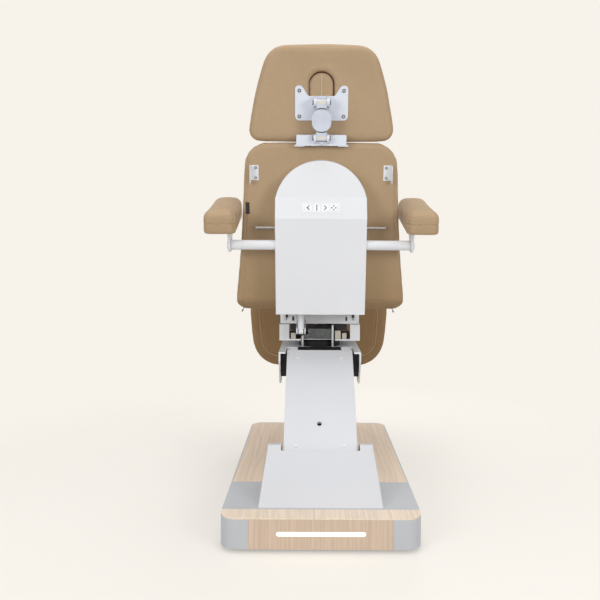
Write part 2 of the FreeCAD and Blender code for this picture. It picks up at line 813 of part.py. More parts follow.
def cover_block(label, inset):
    """Arched block under the bent sheet; inset gives its inner faces."""
    item = new_body(label, BACK, False)
    half = 160 - inset
    low = COVER_LOW - (4 if inset else 0)
    radius = dim.cover_radius - inset
    rise = math.sqrt(radius ** 2 - half ** 2)
    left, right = Vector(-half, COVER_ARCH + rise, 0), Vector(half, COVER_ARCH + rise, 0)
    sides = [
        Part.LineSegment(Vector(-half, low, 0), Vector(half, low, 0)),
        Part.LineSegment(Vector(half, low, 0), right),
        Part.Arc(right, Vector(0, COVER_ARCH + radius, 0), left),
        Part.LineSegment(left, Vector(-half, low, 0)),
    ]
    depth = "cover_inner_depth" if inset else "cover_depth"
    pad(item, "XZ", [sides], FACET_LOW[0] + inset, depth)
    bends = [(FACET_LOW[0], COVER_LOW), FACET_LOW, FACET_HIGH, COVER_APEX, (COVER_APEX[0], 640)]
    wedge = [inset_corner(*bends[index:index + 3], inset) for index in range(3)]
    wedge += [(wedge[-1][0], 640), (-140, 640), (-140, wedge[0][1])]
    drill(item, "YZ", [outline(wedge)])
    return item


FACET_TURN = math.degrees(math.atan2(FACET_HIGH[0] - FACET_LOW[0], FACET_HIGH[1] - FACET_LOW[1]))
FACET_MIDDLE = ((FACET_LOW[0] + FACET_HIGH[0]) / 2, (FACET_LOW[1] + FACET_HIGH[1]) / 2)
PANEL = BACK.multiply(leaning(*FACET_MIDDLE, -FACET_TURN))
PANEL_HALF = (67.0, 18.0)
COVER_SHEET = 2.0


def back_cover():
    outer = cover_block("cover_outer", 0)
    inner = cover_block("cover_inner", COVER_SHEET)
    holes = new_body("cover_holes", BACK, False)
    pad_both_sides(holes, circle(BACK_TUBE, dim.tube_radius + 1.2), 130, "cover_hole")
    pad_both_sides(holes, circle(BAR_SPOT, dim.bar_radius + 1), 130, "cover_hole")
    window = new_body("cover_window", PANEL, False)
    pad_centred(window, "XZ", [rectangle(-PANEL_HALF[0], -PANEL_HALF[1], *PANEL_HALF, 4)], "lift_eye")
    taken = doc.addObject("Part::MultiFuse", "cover_taken")
    taken.Shapes = [inner, holes, window]
    item = doc.addObject("Part::Cut", "back_cover")
    item.Label = "back_cover"
    item.Base = outer
    item.Tool = taken
    parts.append(item)


KEY_SPACING = 29.6
KEY_HALF = 12.8


def key_outline(number, gap):
    middle = (number - 2.5) * KEY_SPACING
    half = KEY_HALF + gap
    return rectangle(middle - half, -half, middle + half, half, 3 + gap)


def button_panel():
    item = new_body("button_panel", PANEL)
    keys = [key_outline(number, 0.3) for number in range(1, 5)]
    wide = PANEL_HALF[0] - 0.2
    high = PANEL_HALF[1] - 0.2
    pad(item, "XZ", [rectangle(-wide, -high, wide, high, 3.8)] + keys, -1, "key_panel_thick")
    tray = rectangle(-wide - 4, -high - 3, wide + 4, high + 3, 4)
    pad(item, "XZ", [tray] + keys, COVER_SHEET, "key_panel_thick")
    pad(item, "XZ", [tray], COVER_SHEET + dim.key_panel_thick - 0.1, "zinc_thick")


def key(number):
    item = new_body(f"button_{number}", PANEL)
    pad(item, "XZ", [key_outline(number, 0)], -1.8, "key_depth")
    round_edges(item, "small_edge", at_level(-1.8, "Y"))


def armrest_tube():
    item = new_body("armrest_tube", leaning(*ARMREST_AXIS, 0))
    right = [(317, dim.tube_radius), (317, 12), (326, 12), (326, 16.5), (330, 16.5, 2), (330, 0)]
    left = [(-corner[0],) + corner[1:] for corner in reversed(right)]
    drawing = sketch(item, "XY", [outline(left + right)], 0)
    feature = item.newObject("PartDesign::Revolution", "armrest_tube_turn")
    feature.Profile = drawing
    feature.ReferenceAxis = (drawing, ["H_Axis"])
    feature.Angle = 360


def accessory_bar():
    item = new_body("accessory_bar", BACK)
    inner = 140
    outer = inner + dim.bar_length
    pad_both_sides(item, circle(BAR_SPOT, dim.bar_radius), inner, "bar_length")
    pad_both_sides(item, circle(BAR_SPOT, 10), outer - dim.bar_flange, "bar_flange")
    spots = [(side * (inner + 6), BAR_SPOT[1]) for side in (-1, 1)]
    pad(item, "XZ", [circle(spot, 4) for spot in spots], BAR_SPOT[0], "bar_post")
    pad(item, "XZ", [circle(spot, 10) for spot in spots], -dim.bar_flange, "bar_flange")


BRACKET_Z = 515.0
BRACKET_X = 237.0


def roll_brackets():
    item = new_body("roll_brackets", BACK)
    for side in (-1, 1):
        left, right = sorted((side * (BRACKET_X - 15), side * (BRACKET_X + 15)))
        plate = rectangle(left, BRACKET_Z - 27, right, BRACKET_Z + 27, 2)
        pad(item, "XZ", [plate], -dim.bracket_sheet, "bracket_sheet")
        edge = side * (BRACKET_X + 15)
        left, right = sorted((edge, edge - side * dim.bracket_sheet))
        flange = rectangle(left, BRACKET_Z - 36, right, BRACKET_Z + 27)
        pad(item, "XZ", [flange], -dim.bracket_flange, "bracket_flange")


def screw_heads(label, frame, spots, face, radius):
    item = new_body(label, frame)
    pad(item, "XZ", [circle(spot, radius) for spot in spots], face - dim.screw_head, "screw_head")
    round_edges(item, "small_edge", at_level(face - dim.screw_head, "Y"))


KNUCKLE_LOW = (-44.0, 639.0)
KNUCKLE_HIGH = (-44.0, 759.0)
CROSSBAR_LOW = 612.0
CROSSBAR_HIGH = 649.0
CROSSBAR_REST = 3.7
RATCHET_TEETH = 20


def ratchet_outline(centre):
    """Toothed disc of the lower knuckle."""
    corners = []
    for index in range(2 * RATCHET_TEETH):
        turn = math.pi * index / RATCHET_TEETH
        radius = 27.3 if index % 2 else 23.5
        corners.append((centre[0] + radius * math.cos(turn), centre[1] + radius * math.sin(turn)))
    return outline(corners)


def headrest_crossbar():
    item = new_body("headrest_crossbar", BACK)
    half = dim.crossbar_width / 2
    front = -4.0
    channel = rectangle(-half, CROSSBAR_LOW, half, CROSSBAR_HIGH, 3)
    pad(item, "XZ", [channel], front - dim.crossbar_depth, "crossbar_depth")
    rear = front - dim.crossbar_depth
    inner = half - dim.crossbar_wall
    hollow = rectangle(-inner, CROSSBAR_LOW + dim.crossbar_wall, inner, CROSSBAR_HIGH - dim.crossbar_wall, 2)
    pocket(item, "XZ", [hollow], rear + dim.crossbar_wall, "crossbar_depth")
    for side in (-1, 1):
        left, right = sorted((side * (half - 28), side * (half + 6)))
        foot = rectangle(left, CROSSBAR_LOW - 3, right, CROSSBAR_LOW + 3)
        pad(item, "XZ", [foot], CROSSBAR_REST - dim.crossbar_foot, "crossbar_foot")
    toothed = ratchet_outline((0, KNUCKLE_LOW[1]))
    pad(item, "XZ", [toothed], rear - dim.ratchet_thick, "ratchet_thick")
    slot = dim.knuckle_tongue / 2 + 0.4
    gap = rectangle(-slot, KNUCKLE_LOW[1] - 12.5, slot, 680)
    pocket(item, "XZ", [gap], rear - dim.ratchet_thick, "ratchet_thick")
    lug = ear((-30, 617), (-30, 648), KNUCKLE_LOW, 13)
    pad_both_sides(item, lug, slot, "knuckle_ear")
    drill(item, "YZ", [circle(KNUCKLE_LOW, 5.02)])


# Headrest

HEAD_REAR = 2.0


def headrest_link():
    item = new_body("headrest_link", BACK)
    middle = (KNUCKLE_LOW[1] + KNUCKLE_HIGH[1]) / 2
    oval = rectangle(-33, middle - 37, 33, middle + 37, 30)
    pad_centred(item, "XZ", [oval], "knuckle_body", KNUCKLE_LOW[0] - 4)
    spine = rounded_bar(KNUCKLE_LOW, KNUCKLE_HIGH, 11)
    pad_centred(item, "YZ", [spine], "knuckle_tongue")
    for pivot in (KNUCKLE_LOW, KNUCKLE_HIGH):
        drill(item, "YZ", [circle(pivot, 5.05)])


def headrest_plate():
    item = new_body("headrest_plate", BACK)
    shape = outline([
        (-92, 697, 16), (92, 697, 16), (92, 815, 12), (69, 815, 11), (46, 780, 10), (-46, 780, 10),
        (-69, 815, 11), (-92, 815, 12),
    ])
    face = HEAD_REAR - dim.head_plate_thick
    pad(item, "XZ", [shape], face, "head_plate_thick")
    root = face + 1
    lug = ear((root, KNUCKLE_HIGH[1] - 20), (root, KNUCKLE_HIGH[1] + 20), KNUCKLE_HIGH, 13)
    pad_both_sides(item, lug, dim.knuckle_tongue / 2 + 0.4, "knuckle_ear")
    drill(item, "YZ", [circle(KNUCKLE_HIGH, 5.02)])


def plug_outline(gap):
    return rounded_bar((0, 765), (0, 818), 43 - gap)


def headrest_cushion():
    item = new_body("headrest_cushion", BACK)
    pad(item, "XZ", [mirrored([(264, 622, 40), (185, 951, 75)])], HEAD_REAR, "head_thick")
    round_edges(item, "cushion_edge", lambda edge: edge.BoundBox.YLength < 1e-3)
    drill(item, "XZ", [plug_outline(0)])


def face_plug():
    item = new_body("face_plug", BACK)
    pad(item, "XZ", [plug_outline(2)], HEAD_REAR, "head_thick")


# Armrests and leg rest

def splay(side):
    """Turn of an armrest's pad and its foot outward about the pad's inner rear corner."""
    return Placement(
        Vector(), Rotation(Vector(0, 0, 1), -side * dim.armrest_splay), Vector(side * 284, -100, 0))


def armrest_bracket(label, side):
    item = new_body(label, ARMREST)
    inner = side * 317.5
    start = inner if side > 0 else inner - dim.armrest_bar
    blade = ear((-34, 56), (60, 56), (0, 0), 25)
    pad(item, "YZ", [blade], start, "armrest_bar")
    corners = [Vector(side * x, y, 0) for x, y in ((300, -50), (378, -50), (378, 250), (300, 250))]
    turned = [splay(side).multVec(corner) for corner in corners]
    pad(item, "XY", [outline([(corner.x, corner.y, 10) for corner in turned])], 54, "armrest_foot")
    drill(item, "YZ", [circle((0, 0), 12.05)])


def armrest_pad(label, side):
    item = new_body(label, ARMREST.multiply(splay(side)))
    left, right = sorted((side * 284, side * 396))
    pad(item, "XZ", [rectangle(left, 58, right, 140, 26)], -100, "armrest_length")
    round_edges(item, "armrest_edge", lambda edge: edge.BoundBox.YLength < 1e-3)


def legrest_frame():
    item = new_body("legrest_frame")
    pad(item, "XZ", [rectangle(-129, 470, 129, 742, 14)], LEG_REAR - dim.leg_plate, "leg_plate")
    arm_side = [
        (503, 690), (508.8, 690), (508.8, 743), (557, 763, 12), (557, 790, 12), (533, 790, 12),
        (531, 764), (503, 748),
    ]
    pad_both_sides(item, outline(arm_side), 121, "ear_thick")
    drill(item, "YZ", [circle(LEG_HINGE, 7.05)])


def legrest_cushion():
    item = new_body("legrest_cushion")
    pad(item, "XZ", [mirrored([(295, 371, 140), (313, 738, 30)])], LEG_REAR, "leg_thick")
    round_edges(item, "cushion_edge", lambda edge: edge.BoundBox.YLength < 1e-3)


# Drives

LIFT_LUG = seen_from_floor(ARM, (330, -12))
LIFT_REACH = math.hypot(LIFT_LUG[0] - LIFT_DRIVE_FOOT[0], LIFT_LUG[1] - LIFT_DRIVE_FOOT[1])
LIFT_TURN = math.degrees(math.atan2(LIFT_LUG[1] - LIFT_DRIVE_FOOT[1], LIFT_LUG[0] - LIFT_DRIVE_FOOT[0]))
LIFT = leaning(*LIFT_DRIVE_FOOT, LIFT_TURN)


def lift_drive():
    item = new_body("lift_drive", LIFT)
    pad_centred(item, "YZ", [ear((22, -10), (22, 10), (0, 0), 14)], "lift_eye")
    pad(item, "XZ", [rectangle(-24, -64, 24, 24, 8)], 18, "lift_gear")
    pad(item, "XZ", [circle((0, 0), 21)], 20, "lift_tube")
    pad(item, "XZ", [circle((0, -43), 20)], 50, "lift_motor")
    pocket(item, "XZ", [circle((0, 0), 11.06)], 20 + dim.lift_tube - dim.lift_bore, "lift_bore")
    drill(item, "YZ", [circle((0, 0), 6.05)])


def lift_rod():
    item = new_body("lift_rod", LIFT)
    pad(item, "XZ", [circle((0, 0), 11)], LIFT_REACH - 8 - dim.lift_rod_length, "lift_rod_length")
    pad_centred(item, "YZ", [circle((LIFT_REACH, 0), 13)], "rod_eye")
    drill(item, "YZ", [circle((LIFT_REACH, 0), 6.05)])


def back_drive():
    item = new_body("back_drive", BACK)
    axis = (BACK_ROD_X, BACK_EYE[0])
    motor = (BACK_ROD_X + 46, BACK_EYE[0] + 2)
    pad(item, "XY", [circle(axis, 19)], 70, "back_tube")
    gear = rectangle(axis[0] - 24, -60, motor[0] + 24, -dim.back_plate, 6)
    pad(item, "XY", [gear], 350, "back_gear")
    pad(item, "XY", [circle(motor, 21)], 222, "back_motor")
    pocket(item, "XY", [circle(axis, 11.56)], 70, "back_bore")


def back_rod():
    item = new_body("back_rod", BACK)
    axis = (BACK_ROD_X, BACK_EYE[0])
    pad(item, "XY", [circle(axis, 11.5)], BACK_EYE[1] + 8, "back_rod_length")
    pad_centred(item, "YZ", [circle(BACK_EYE, 12)], "rod_eye", BACK_ROD_X)
    drill(item, "YZ", [circle(BACK_EYE, 5)])


# Assembly

def build():
    base_shell()
    deck_panel()
    rim_strip()
    rear_panel()
    led_lens()
    base_frame()
    levelling_feet()
    hood()
    mains_inlet()
    base_pins = cross_pin("base_pins", FLOOR, ARM_FOOT, 9, "arm_pin_length")
    add_pin(base_pins, shifted(ARM_FOOT, LINK_OFFSET), 7, "link_pin_length", 65, 2)
    add_pin(base_pins, LIFT_DRIVE_FOOT, 6, "drive_pin_length", 0, 3)
    lift_drive()
    lift_rod()
    arm_box()
    arm_cover()
    arm_screw_caps()
    arm_bushes()
    level_link()
    head_bracket()
    head_guards()
    head_pins = cross_pin("head_pins", FLOOR, ARM_TIP, 9, "head_pin_length")
    add_pin(head_pins, LINK_TIP, 7, "link_pin_length", 65, 2)
    swivel_race()
    swivel_turntable()
    carriage()
    tilt_bracket()
    tilt_drive()
    tilt_rod()
    seat_frame()
    seat_board()
    seat_cushion()
    tilt_pins()
    hinge_pins("back_hinge_pins", SEAT_BACK_HINGE)
    hinge_pins("leg_hinge_pins", SEAT_LEG_HINGE)
    back_frame()
    back_cushion()
    back_cover()
    button_panel()
    for number in range(1, 5):
        key(number)
    armrest_tube()
    accessory_bar()
    roll_brackets()
    bracket_screws = [(side * (BRACKET_X - 5), BRACKET_Z + step) for side in (-1, 1) for step in (-18, 18)]
    screw_heads("roll_screws", BACK, bracket_screws, -dim.bracket_sheet, 5)
    headrest_crossbar()
    back_drive()
    back_rod()
    headrest_link()
    pins = cross_pin("headrest_pins", BACK, KNUCKLE_LOW, 5, "knuckle_pin_length")
    add_pin(pins, KNUCKLE_HIGH, 5, "knuckle_pin_length")
    headrest_plate()
    plate_screws = [(x, z) for x in (-77, 77) for z in (711, 798)]
    screw_heads("headrest_screws", BACK, plate_screws, HEAD_REAR - dim.head_plate_thick, 6.5)
    headrest_cushion()
    face_plug()
    for name, side in (("left", -1), ("right", 1)):
        armrest_bracket(f"armrest_bracket_{name}", side)
        armrest_pad(f"armrest_pad_{name}", side)
    legrest_frame()
    legrest_cushion()


def export():
    os.makedirs("parts", exist_ok=True)
    doc.recompute()
    broken = []
    for item in doc.Objects:
        if "Invalid" in item.State or "Error" in item.State:
            broken.append(item.Name)
    for item in parts:
        if item.Shape.isNull() or not item.Shape.isValid() or not item.Shape.Solids:
            broken.append(item.Label)
    if broken:
        raise RuntimeError("not sound: " + ", ".join(broken))
    for item in parts:
        item.Shape.exportStep(f"parts/{item.Label}.step")


build()
export()
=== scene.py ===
import json
import math

import bmesh
import bpy
from mathutils import Matrix, Vector, noise
from mathutils.bvhtree import BVHTree
from mathutils.kdtree import KDTree


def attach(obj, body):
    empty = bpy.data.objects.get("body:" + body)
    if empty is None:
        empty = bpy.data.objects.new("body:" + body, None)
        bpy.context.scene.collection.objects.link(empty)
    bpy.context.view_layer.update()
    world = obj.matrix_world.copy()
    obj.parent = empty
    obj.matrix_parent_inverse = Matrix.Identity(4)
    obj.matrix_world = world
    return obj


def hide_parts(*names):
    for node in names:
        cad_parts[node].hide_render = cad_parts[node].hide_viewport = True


# Looks of the treatment chair: finishes for its hard parts, upholstery, stitching and small trim.
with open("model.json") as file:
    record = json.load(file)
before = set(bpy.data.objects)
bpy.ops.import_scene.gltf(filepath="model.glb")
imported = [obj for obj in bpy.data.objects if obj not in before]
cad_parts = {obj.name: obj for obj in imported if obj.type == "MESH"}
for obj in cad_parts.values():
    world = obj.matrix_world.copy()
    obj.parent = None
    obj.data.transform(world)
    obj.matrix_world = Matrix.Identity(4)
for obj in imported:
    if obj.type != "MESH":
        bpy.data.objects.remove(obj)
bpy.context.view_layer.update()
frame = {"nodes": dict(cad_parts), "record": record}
nodes = frame["nodes"]
scene = bpy.context.scene

# Reference frames of the chair in metres, the same lines that the frame's joints turn about.
SEAT_TILT = 12.0
BACK_LEAN = 14.0
ARMREST_TILT = 11.6
SEAT_ORIGIN = (0.061, 0.668)
BACK_ORIGIN = (-0.037, 0.668)
ARMREST_ORIGIN = (-0.172, 0.910)
PANEL_ORIGIN = (-0.080, 0.4025)
KEY_FACET = (0.032, 0.071)


def leaning(origin, degrees):
    return Matrix.Translation((0, *origin)) @ Matrix.Rotation(math.radians(degrees), 4, "X")


SEAT = leaning(SEAT_ORIGIN, SEAT_TILT)
BACK = leaning(BACK_ORIGIN, BACK_LEAN)
ARMREST = leaning(ARMREST_ORIGIN, ARMREST_TILT)
UPRIGHT = Matrix.Identity(4)
PANEL = BACK @ leaning(PANEL_ORIGIN, -math.degrees(math.atan2(*KEY_FACET)))


# Material nodes

NOISE_SWING = (0.3, 0.7)
MIX_FACTOR, MIX_FIRST, MIX_SECOND, MIX_RESULT = 0, 6, 7, 2


def feed(tree, socket, value):
    """Links the socket to the value where that is a socket too, and else sets it."""
    if isinstance(value, bpy.types.NodeSocket):
        tree.links.new(value, socket)
    else:
        socket.default_value = value


def set_inputs(tree, node, **inputs):
    for name, value in inputs.items():
        feed(tree, node.inputs[name.replace("_", " ")], value)


def add(tree, kind, settings=None, **inputs):
    """New shader node with its settings and inputs."""
    node = tree.nodes.new("ShaderNode" + kind)
    for name, value in (settings or {}).items():
        setattr(node, name, value)
    set_inputs(tree, node, **inputs)
    return node


def new_material(name, **inputs):
    material = bpy.data.materials.new(name)
    material.use_nodes = True
    tree = material.node_tree
    shader = tree.nodes["Principled BSDF"]
    set_inputs(tree, shader, **inputs)
    return material, tree, shader


def place(tree, stretch=(1, 1, 1)):
    """Coordinates fixed to the piece, in metres, stretched along its axes."""
    coords = add(tree, "TexCoord").outputs["Object"]
    return add(tree, "Mapping", Vector=coords, Scale=stretch).outputs["Vector"]


def speckle(tree, spot, scale, detail):
    return add(tree, "TexNoise", Vector=spot, Scale=scale, Detail=detail).outputs["Fac"]


def remap(tree, value, start, end, low=0.0, high=1.0, settings=None):
    """The value's run from start to end carried over to low..high."""
    node = add(tree, "MapRange", settings, Value=value, From_Min=start, From_Max=end,
               To_Min=low, To_Max=high)
    return node.outputs["Result"]


def spread(tree, factor, low, high):
    """A noise's usual swing carried over to low..high."""
    return remap(tree, factor, *NOISE_SWING, low, high)


def ramp(tree, factor, stops):
    node = add(tree, "ValToRGB", Fac=factor)
    elements = node.color_ramp.elements
    while len(elements) < len(stops):
        elements.new(0.5)
    for element, (position, colour) in zip(elements, stops):
        element.position = position
        element.color = (*colour, 1)
    return node.outputs["Color"]


def two_tone(tree, factor, dark, light):
    """Colour that goes from dark to light over a noise's usual swing."""
    return ramp(tree, factor, list(zip(NOISE_SWING, (dark, light))))


def maths(tree, operation, first, second):
    node = add(tree, "Math", {"operation": operation})
    feed(tree, node.inputs[0], first)
    feed(tree, node.inputs[1], second)
    return node.outputs["Value"]


def blended(tree, factor, first, second, mode="MIX"):
    node = add(tree, "Mix", {"data_type": "RGBA", "blend_type": mode})
    feed(tree, node.inputs[MIX_FACTOR], factor)
    for socket, colour in ((MIX_FIRST, first), (MIX_SECOND, second)):
        feed(tree, node.inputs[socket], (*colour, 1) if isinstance(colour, tuple) else colour)
    return node.outputs[MIX_RESULT]


def mixed_shader(tree, factor, first, second):
    node = add(tree, "MixShader", Fac=factor)
    tree.links.new(first, node.inputs[1])
    tree.links.new(second, node.inputs[2])
    return node.outputs["Shader"]


def tinted(colour, tint):
    return tuple(value * share for value, share in zip(colour, tint))


def shaded(colour, share):
    return tuple(value * share for value in colour)


def bump(tree, shader, height, strength, distance):
    node = add(tree, "Bump", Height=height, Strength=strength, Distance=distance)
    set_inputs(tree, shader, Normal=node.outputs["Normal"])


def boxed(tree, low, high):
    """1 inside the box from low to high in the piece's own metres, 0 outside it."""
    parts = add(tree, "SeparateXYZ", Vector=place(tree))
    share = 1.0
    for axis, least, most in zip("XYZ", low, high):
        for side, limit in (("GREATER_THAN", least), ("LESS_THAN", most)):
            within = maths(tree, side, parts.outputs[axis], limit)
            share = maths(tree, "MULTIPLY", share, within)
    return share


# Finishes

# Painted shade of the leather's rear faces: the heights over which it fades in, and its colours.
SHADE_LEVELS = (0.40, 1.02)
SHADE_STOPS = [
    (0.35, (0.68, 0.60, 0.48)),
    (0.52, (0.82, 0.78, 0.70)),
    (1.0, (1.0, 1.0, 1.0)),
]
REAR_TO_FRONT = (-0.5, 0.2)
# Painted shade: near black within a box, for the carriage's shaded inside.
INSIDE_PAINTED_SHADE = (0.012, 0.012, 0.013)
CARRIAGE_SHADE_BOX = ((-0.1495, 0.0445, 0.546), (0.1495, 0.3, 0.7))
# Painted reflections of the zinc: bright in the flanges' box, dark on the web.
ZINC_BRIGHT_REFLECTION_BOX = ((-0.1, 0.0, 0.5), (0.1, 0.0636, 0.7))
ZINC_DARK_REFLECTION_TONES = [(0.0, (0.09, 0.10, 0.105)), (1.0, (0.15, 0.16, 0.165))]
ZINC_BRIGHT_REFLECTION_TONES = [(0.0, (0.50, 0.54, 0.55)), (1.0, (0.62, 0.66, 0.67))]
ALONG_X = (0.2, 6, 6)


def painted_rear_shade(tree, tone):
    """The tone with a painted shade on it, deeper low on faces that look to the rear."""
    coords = add(tree, "TexCoord")
    level = add(tree, "SeparateXYZ", Vector=coords.outputs["Object"]).outputs["Z"]
    facing = add(tree, "SeparateXYZ", Vector=coords.outputs["Normal"]).outputs["Y"]
    shade = ramp(tree, remap(tree, level, *SHADE_LEVELS), SHADE_STOPS)
    rear = remap(tree, facing, *REAR_TO_FRONT, low=1.0, high=0.0)
    return blended(tree, rear, tone, blended(tree, 1.0, tone, shade, "MULTIPLY"))


def leather(name, light, dark):
    """Smooth artificial leather: fine pebble grain, slow changes of tone and sheen, and a painted
    shade low on its rear faces.
    """
    material, tree, shader = new_material(name, Specular_IOR_Level=0.10)
    spot = place(tree)
    slow = speckle(tree, spot, scale=7.0, detail=4.0)
    middle = speckle(tree, spot, scale=60.0, detail=3.0)
    fine = speckle(tree, spot, scale=1500.0, detail=2.0)
    edges = {"feature": "DISTANCE_TO_EDGE"}
    cells = add(tree, "TexVoronoi", edges, Vector=spot, Scale=620.0).outputs["Distance"]
    slow_share = maths(tree, "MULTIPLY", slow, 0.7)
    clouds = maths(tree, "ADD", slow_share, maths(tree, "MULTIPLY", middle, 0.3))
    # Painted shade: the tone turns darker low on the faces that look to the rear.
    tone = painted_rear_shade(tree, two_tone(tree, clouds, dark, light))
    pores = remap(tree, cells, 0.0, 0.12, low=0.86)
    set_inputs(tree, shader, Base_Color=blended(tree, 1.0, tone, pores, "MULTIPLY"),
               Roughness=spread(tree, middle, 0.44, 0.56))
    pebbles = maths(tree, "MINIMUM", cells, 0.25)
    grain = maths(tree, "ADD", pebbles, maths(tree, "MULTIPLY", fine, 0.12))
    bump(tree, shader, grain, strength=0.28, distance=0.0006)
    return material


def powder_coat(name, colour, roughness=0.40, inside=None):
    """Baked paint with a faint orange peel; painted shade, near black, within the box inside."""
    material, tree, shader = new_material(name, Specular_IOR_Level=0.45)
    spot = place(tree)
    slow = speckle(tree, spot, scale=4.0, detail=3.0)
    peel = speckle(tree, spot, scale=420.0, detail=2.0)
    paint = two_tone(tree, slow, shaded(colour, 0.965), colour)
    if inside:
        paint = blended(tree, boxed(tree, *inside), paint, INSIDE_PAINTED_SHADE)
    set_inputs(tree, shader, Base_Color=paint,
               Roughness=spread(tree, peel, roughness - 0.05, roughness + 0.06))
    bump(tree, shader, peel, strength=0.12, distance=0.0003)
    return material


def moulded(name, colour, roughness, grain=900.0, depth=0.25, gloss=0.5):
    """Moulded plastic or rubber with a spark-eroded grain."""
    material, tree, shader = new_material(name, Specular_IOR_Level=gloss)
    spot = place(tree)
    slow = speckle(tree, spot, scale=6.0, detail=3.0)
    grains = speckle(tree, spot, scale=grain, detail=3.0)
    set_inputs(tree, shader, Base_Color=two_tone(tree, slow, shaded(colour, 0.93), colour),
               Roughness=spread(tree, grains, roughness - 0.06, roughness + 0.06))
    bump(tree, shader, grains, strength=depth, distance=0.0004)
    return material


def laminate(name, along, seed, pale):
    """Pale wood laminate; along is the grain's axis."""
    material, tree, shader = new_material(name, Specular_IOR_Level=0.35)
    grain = Vector(along)
    across = Vector((1, 1, 1)) - grain

    def drawn_out(wide, long, detail):
        """Noise with its own scale across the grain and along it."""
        spot = place(tree, tuple(across * wide + grain * long))
        node = add(tree, "TexNoise", {"noise_dimensions": "4D"}, Vector=spot, W=seed,
                   Scale=1.0, Detail=detail)
        return node.outputs["Fac"]

    fibres = drawn_out(wide=150, long=2.6, detail=5.0)
    rings = drawn_out(wide=6.5, long=0.75, detail=1.5)
    specks = drawn_out(wide=520, long=22, detail=1.0)
    waves = maths(tree, "SINE", maths(tree, "MULTIPLY", rings, 95.0), 0.0)
    lines = remap(tree, waves, 0.25, 1.0, high=0.34)
    pits = remap(tree, specks, 0.60, 0.74, high=0.20)
    dark, middle, light = (shaded(pale, share) for share in (0.81, 0.96, 1.06))
    ground = ramp(tree, fibres, [(0.30, dark), (0.52, middle), (0.75, light)])
    ringed = blended(tree, lines, ground, tinted(pale, (0.80, 0.76, 0.70)))
    pitted = blended(tree, pits, ringed, tinted(pale, (0.72, 0.66, 0.58)))
    set_inputs(tree, shader, Base_Color=pitted, Roughness=spread(tree, fibres, 0.44, 0.54))
    bump(tree, shader, maths(tree, "SUBTRACT", fibres, pits), strength=0.10, distance=0.0004)
    return material


def metal(name, colour, roughness, stretch=(1, 1, 1), scratch=300.0, metallic=1.0):
    """Bare metal with fine marks drawn out along one axis."""
    material, tree, shader = new_material(name, Metallic=metallic)
    marks = speckle(tree, place(tree, stretch), scale=scratch, detail=4.0)
    slow = speckle(tree, place(tree), scale=18.0, detail=2.0)
    set_inputs(tree, shader, Base_Color=two_tone(tree, slow, shaded(colour, 0.86), colour),
               Roughness=spread(tree, marks, roughness * 0.8, roughness * 1.25))
    bump(tree, shader, marks, strength=0.06, distance=0.0003)
    return material


def zinc_plate(name):
    """Galvanised sheet with its spangle, with painted reflections: bright on the flanges, dark on
    the web.
    """
    material, tree, shader = new_material(name, Metallic=1.0)
    cells = add(tree, "TexVoronoi", Vector=place(tree), Scale=150.0)
    grey = add(tree, "SeparateColor", Color=cells.outputs["Color"]).outputs["Red"]
    # Painted reflection: dark tones on the web and bright ones on the flanges.
    web = ramp(tree, grey, ZINC_DARK_REFLECTION_TONES)
    edges = ramp(tree, grey, ZINC_BRIGHT_REFLECTION_TONES)
    set_inputs(tree, shader, Base_Color=blended(tree, boxed(tree, *ZINC_BRIGHT_REFLECTION_BOX), web, edges),
               Roughness=spread(tree, grey, 0.30, 0.42))
    return material


def lit(name, colour, strength):
    """Frosted plastic lit from inside."""
    material, tree, shader = new_material(name, Roughness=0.35, Emission_Strength=strength)
    cloud = speckle(tree, place(tree), scale=25.0, detail=2.0)
    glow = two_tone(tree, cloud, shaded(colour, 0.95), colour)
    set_inputs(tree, shader, Base_Color=glow, Emission_Color=glow)
    return material


WHITE = (0.79, 0.80, 0.825)

tan_leather = leather("tan_leather", light=(0.490, 0.353, 0.219), dark=(0.443, 0.314, 0.193))
# Painted highlight: the piping's leather is paler than the cover's, for the light that the round
# cords catch.
piping_leather_painted_highlight = leather("piping_leather_painted_highlight", light=(0.72, 0.58, 0.43), dark=(0.66, 0.52, 0.38))
thread = moulded("thread", (0.52, 0.39, 0.25), 0.75, grain=1600.0, depth=0.5)
white_coat = powder_coat("white_coat", WHITE)
# Painted shade: darker copies of the white coat for the arm and the hood.
arm_coat_painted_shade = powder_coat("arm_coat_painted_shade", tinted(WHITE, (0.88, 0.88, 0.89)))
hood_coat_painted_shade = powder_coat("hood_coat_painted_shade", tinted(WHITE, (0.82, 0.82, 0.83)))
dark_coat = powder_coat("dark_coat", (0.030, 0.031, 0.034), 0.5)
# Painted shade: the carriage's inside is near black, standing in for its deep shade.
carriage_coat = powder_coat("carriage_coat", WHITE, inside=CARRIAGE_SHADE_BOX)
silver_coat = powder_coat("silver_coat", (0.74, 0.775, 0.855), 0.36)
grey_shell = moulded("grey_shell", (0.55, 0.565, 0.595), 0.46)
# Painted shade: beige for white switch boxes that sit in the carriage's shade.
switch_plastic_painted_shade = moulded("switch_plastic_painted_shade", (0.60, 0.54, 0.46), 0.5)
cream_pad = moulded("cream_pad", (0.74, 0.71, 0.62), 0.55)
black_plastic = moulded("black_plastic", (0.014, 0.014, 0.015), 0.52, gloss=0.2)
white_plastic = moulded("white_plastic", (0.80, 0.80, 0.81), 0.34, grain=700.0, depth=0.1)
rubber = moulded("rubber", (0.012, 0.012, 0.012), 0.75, grain=500.0, depth=0.5, gloss=0.2)
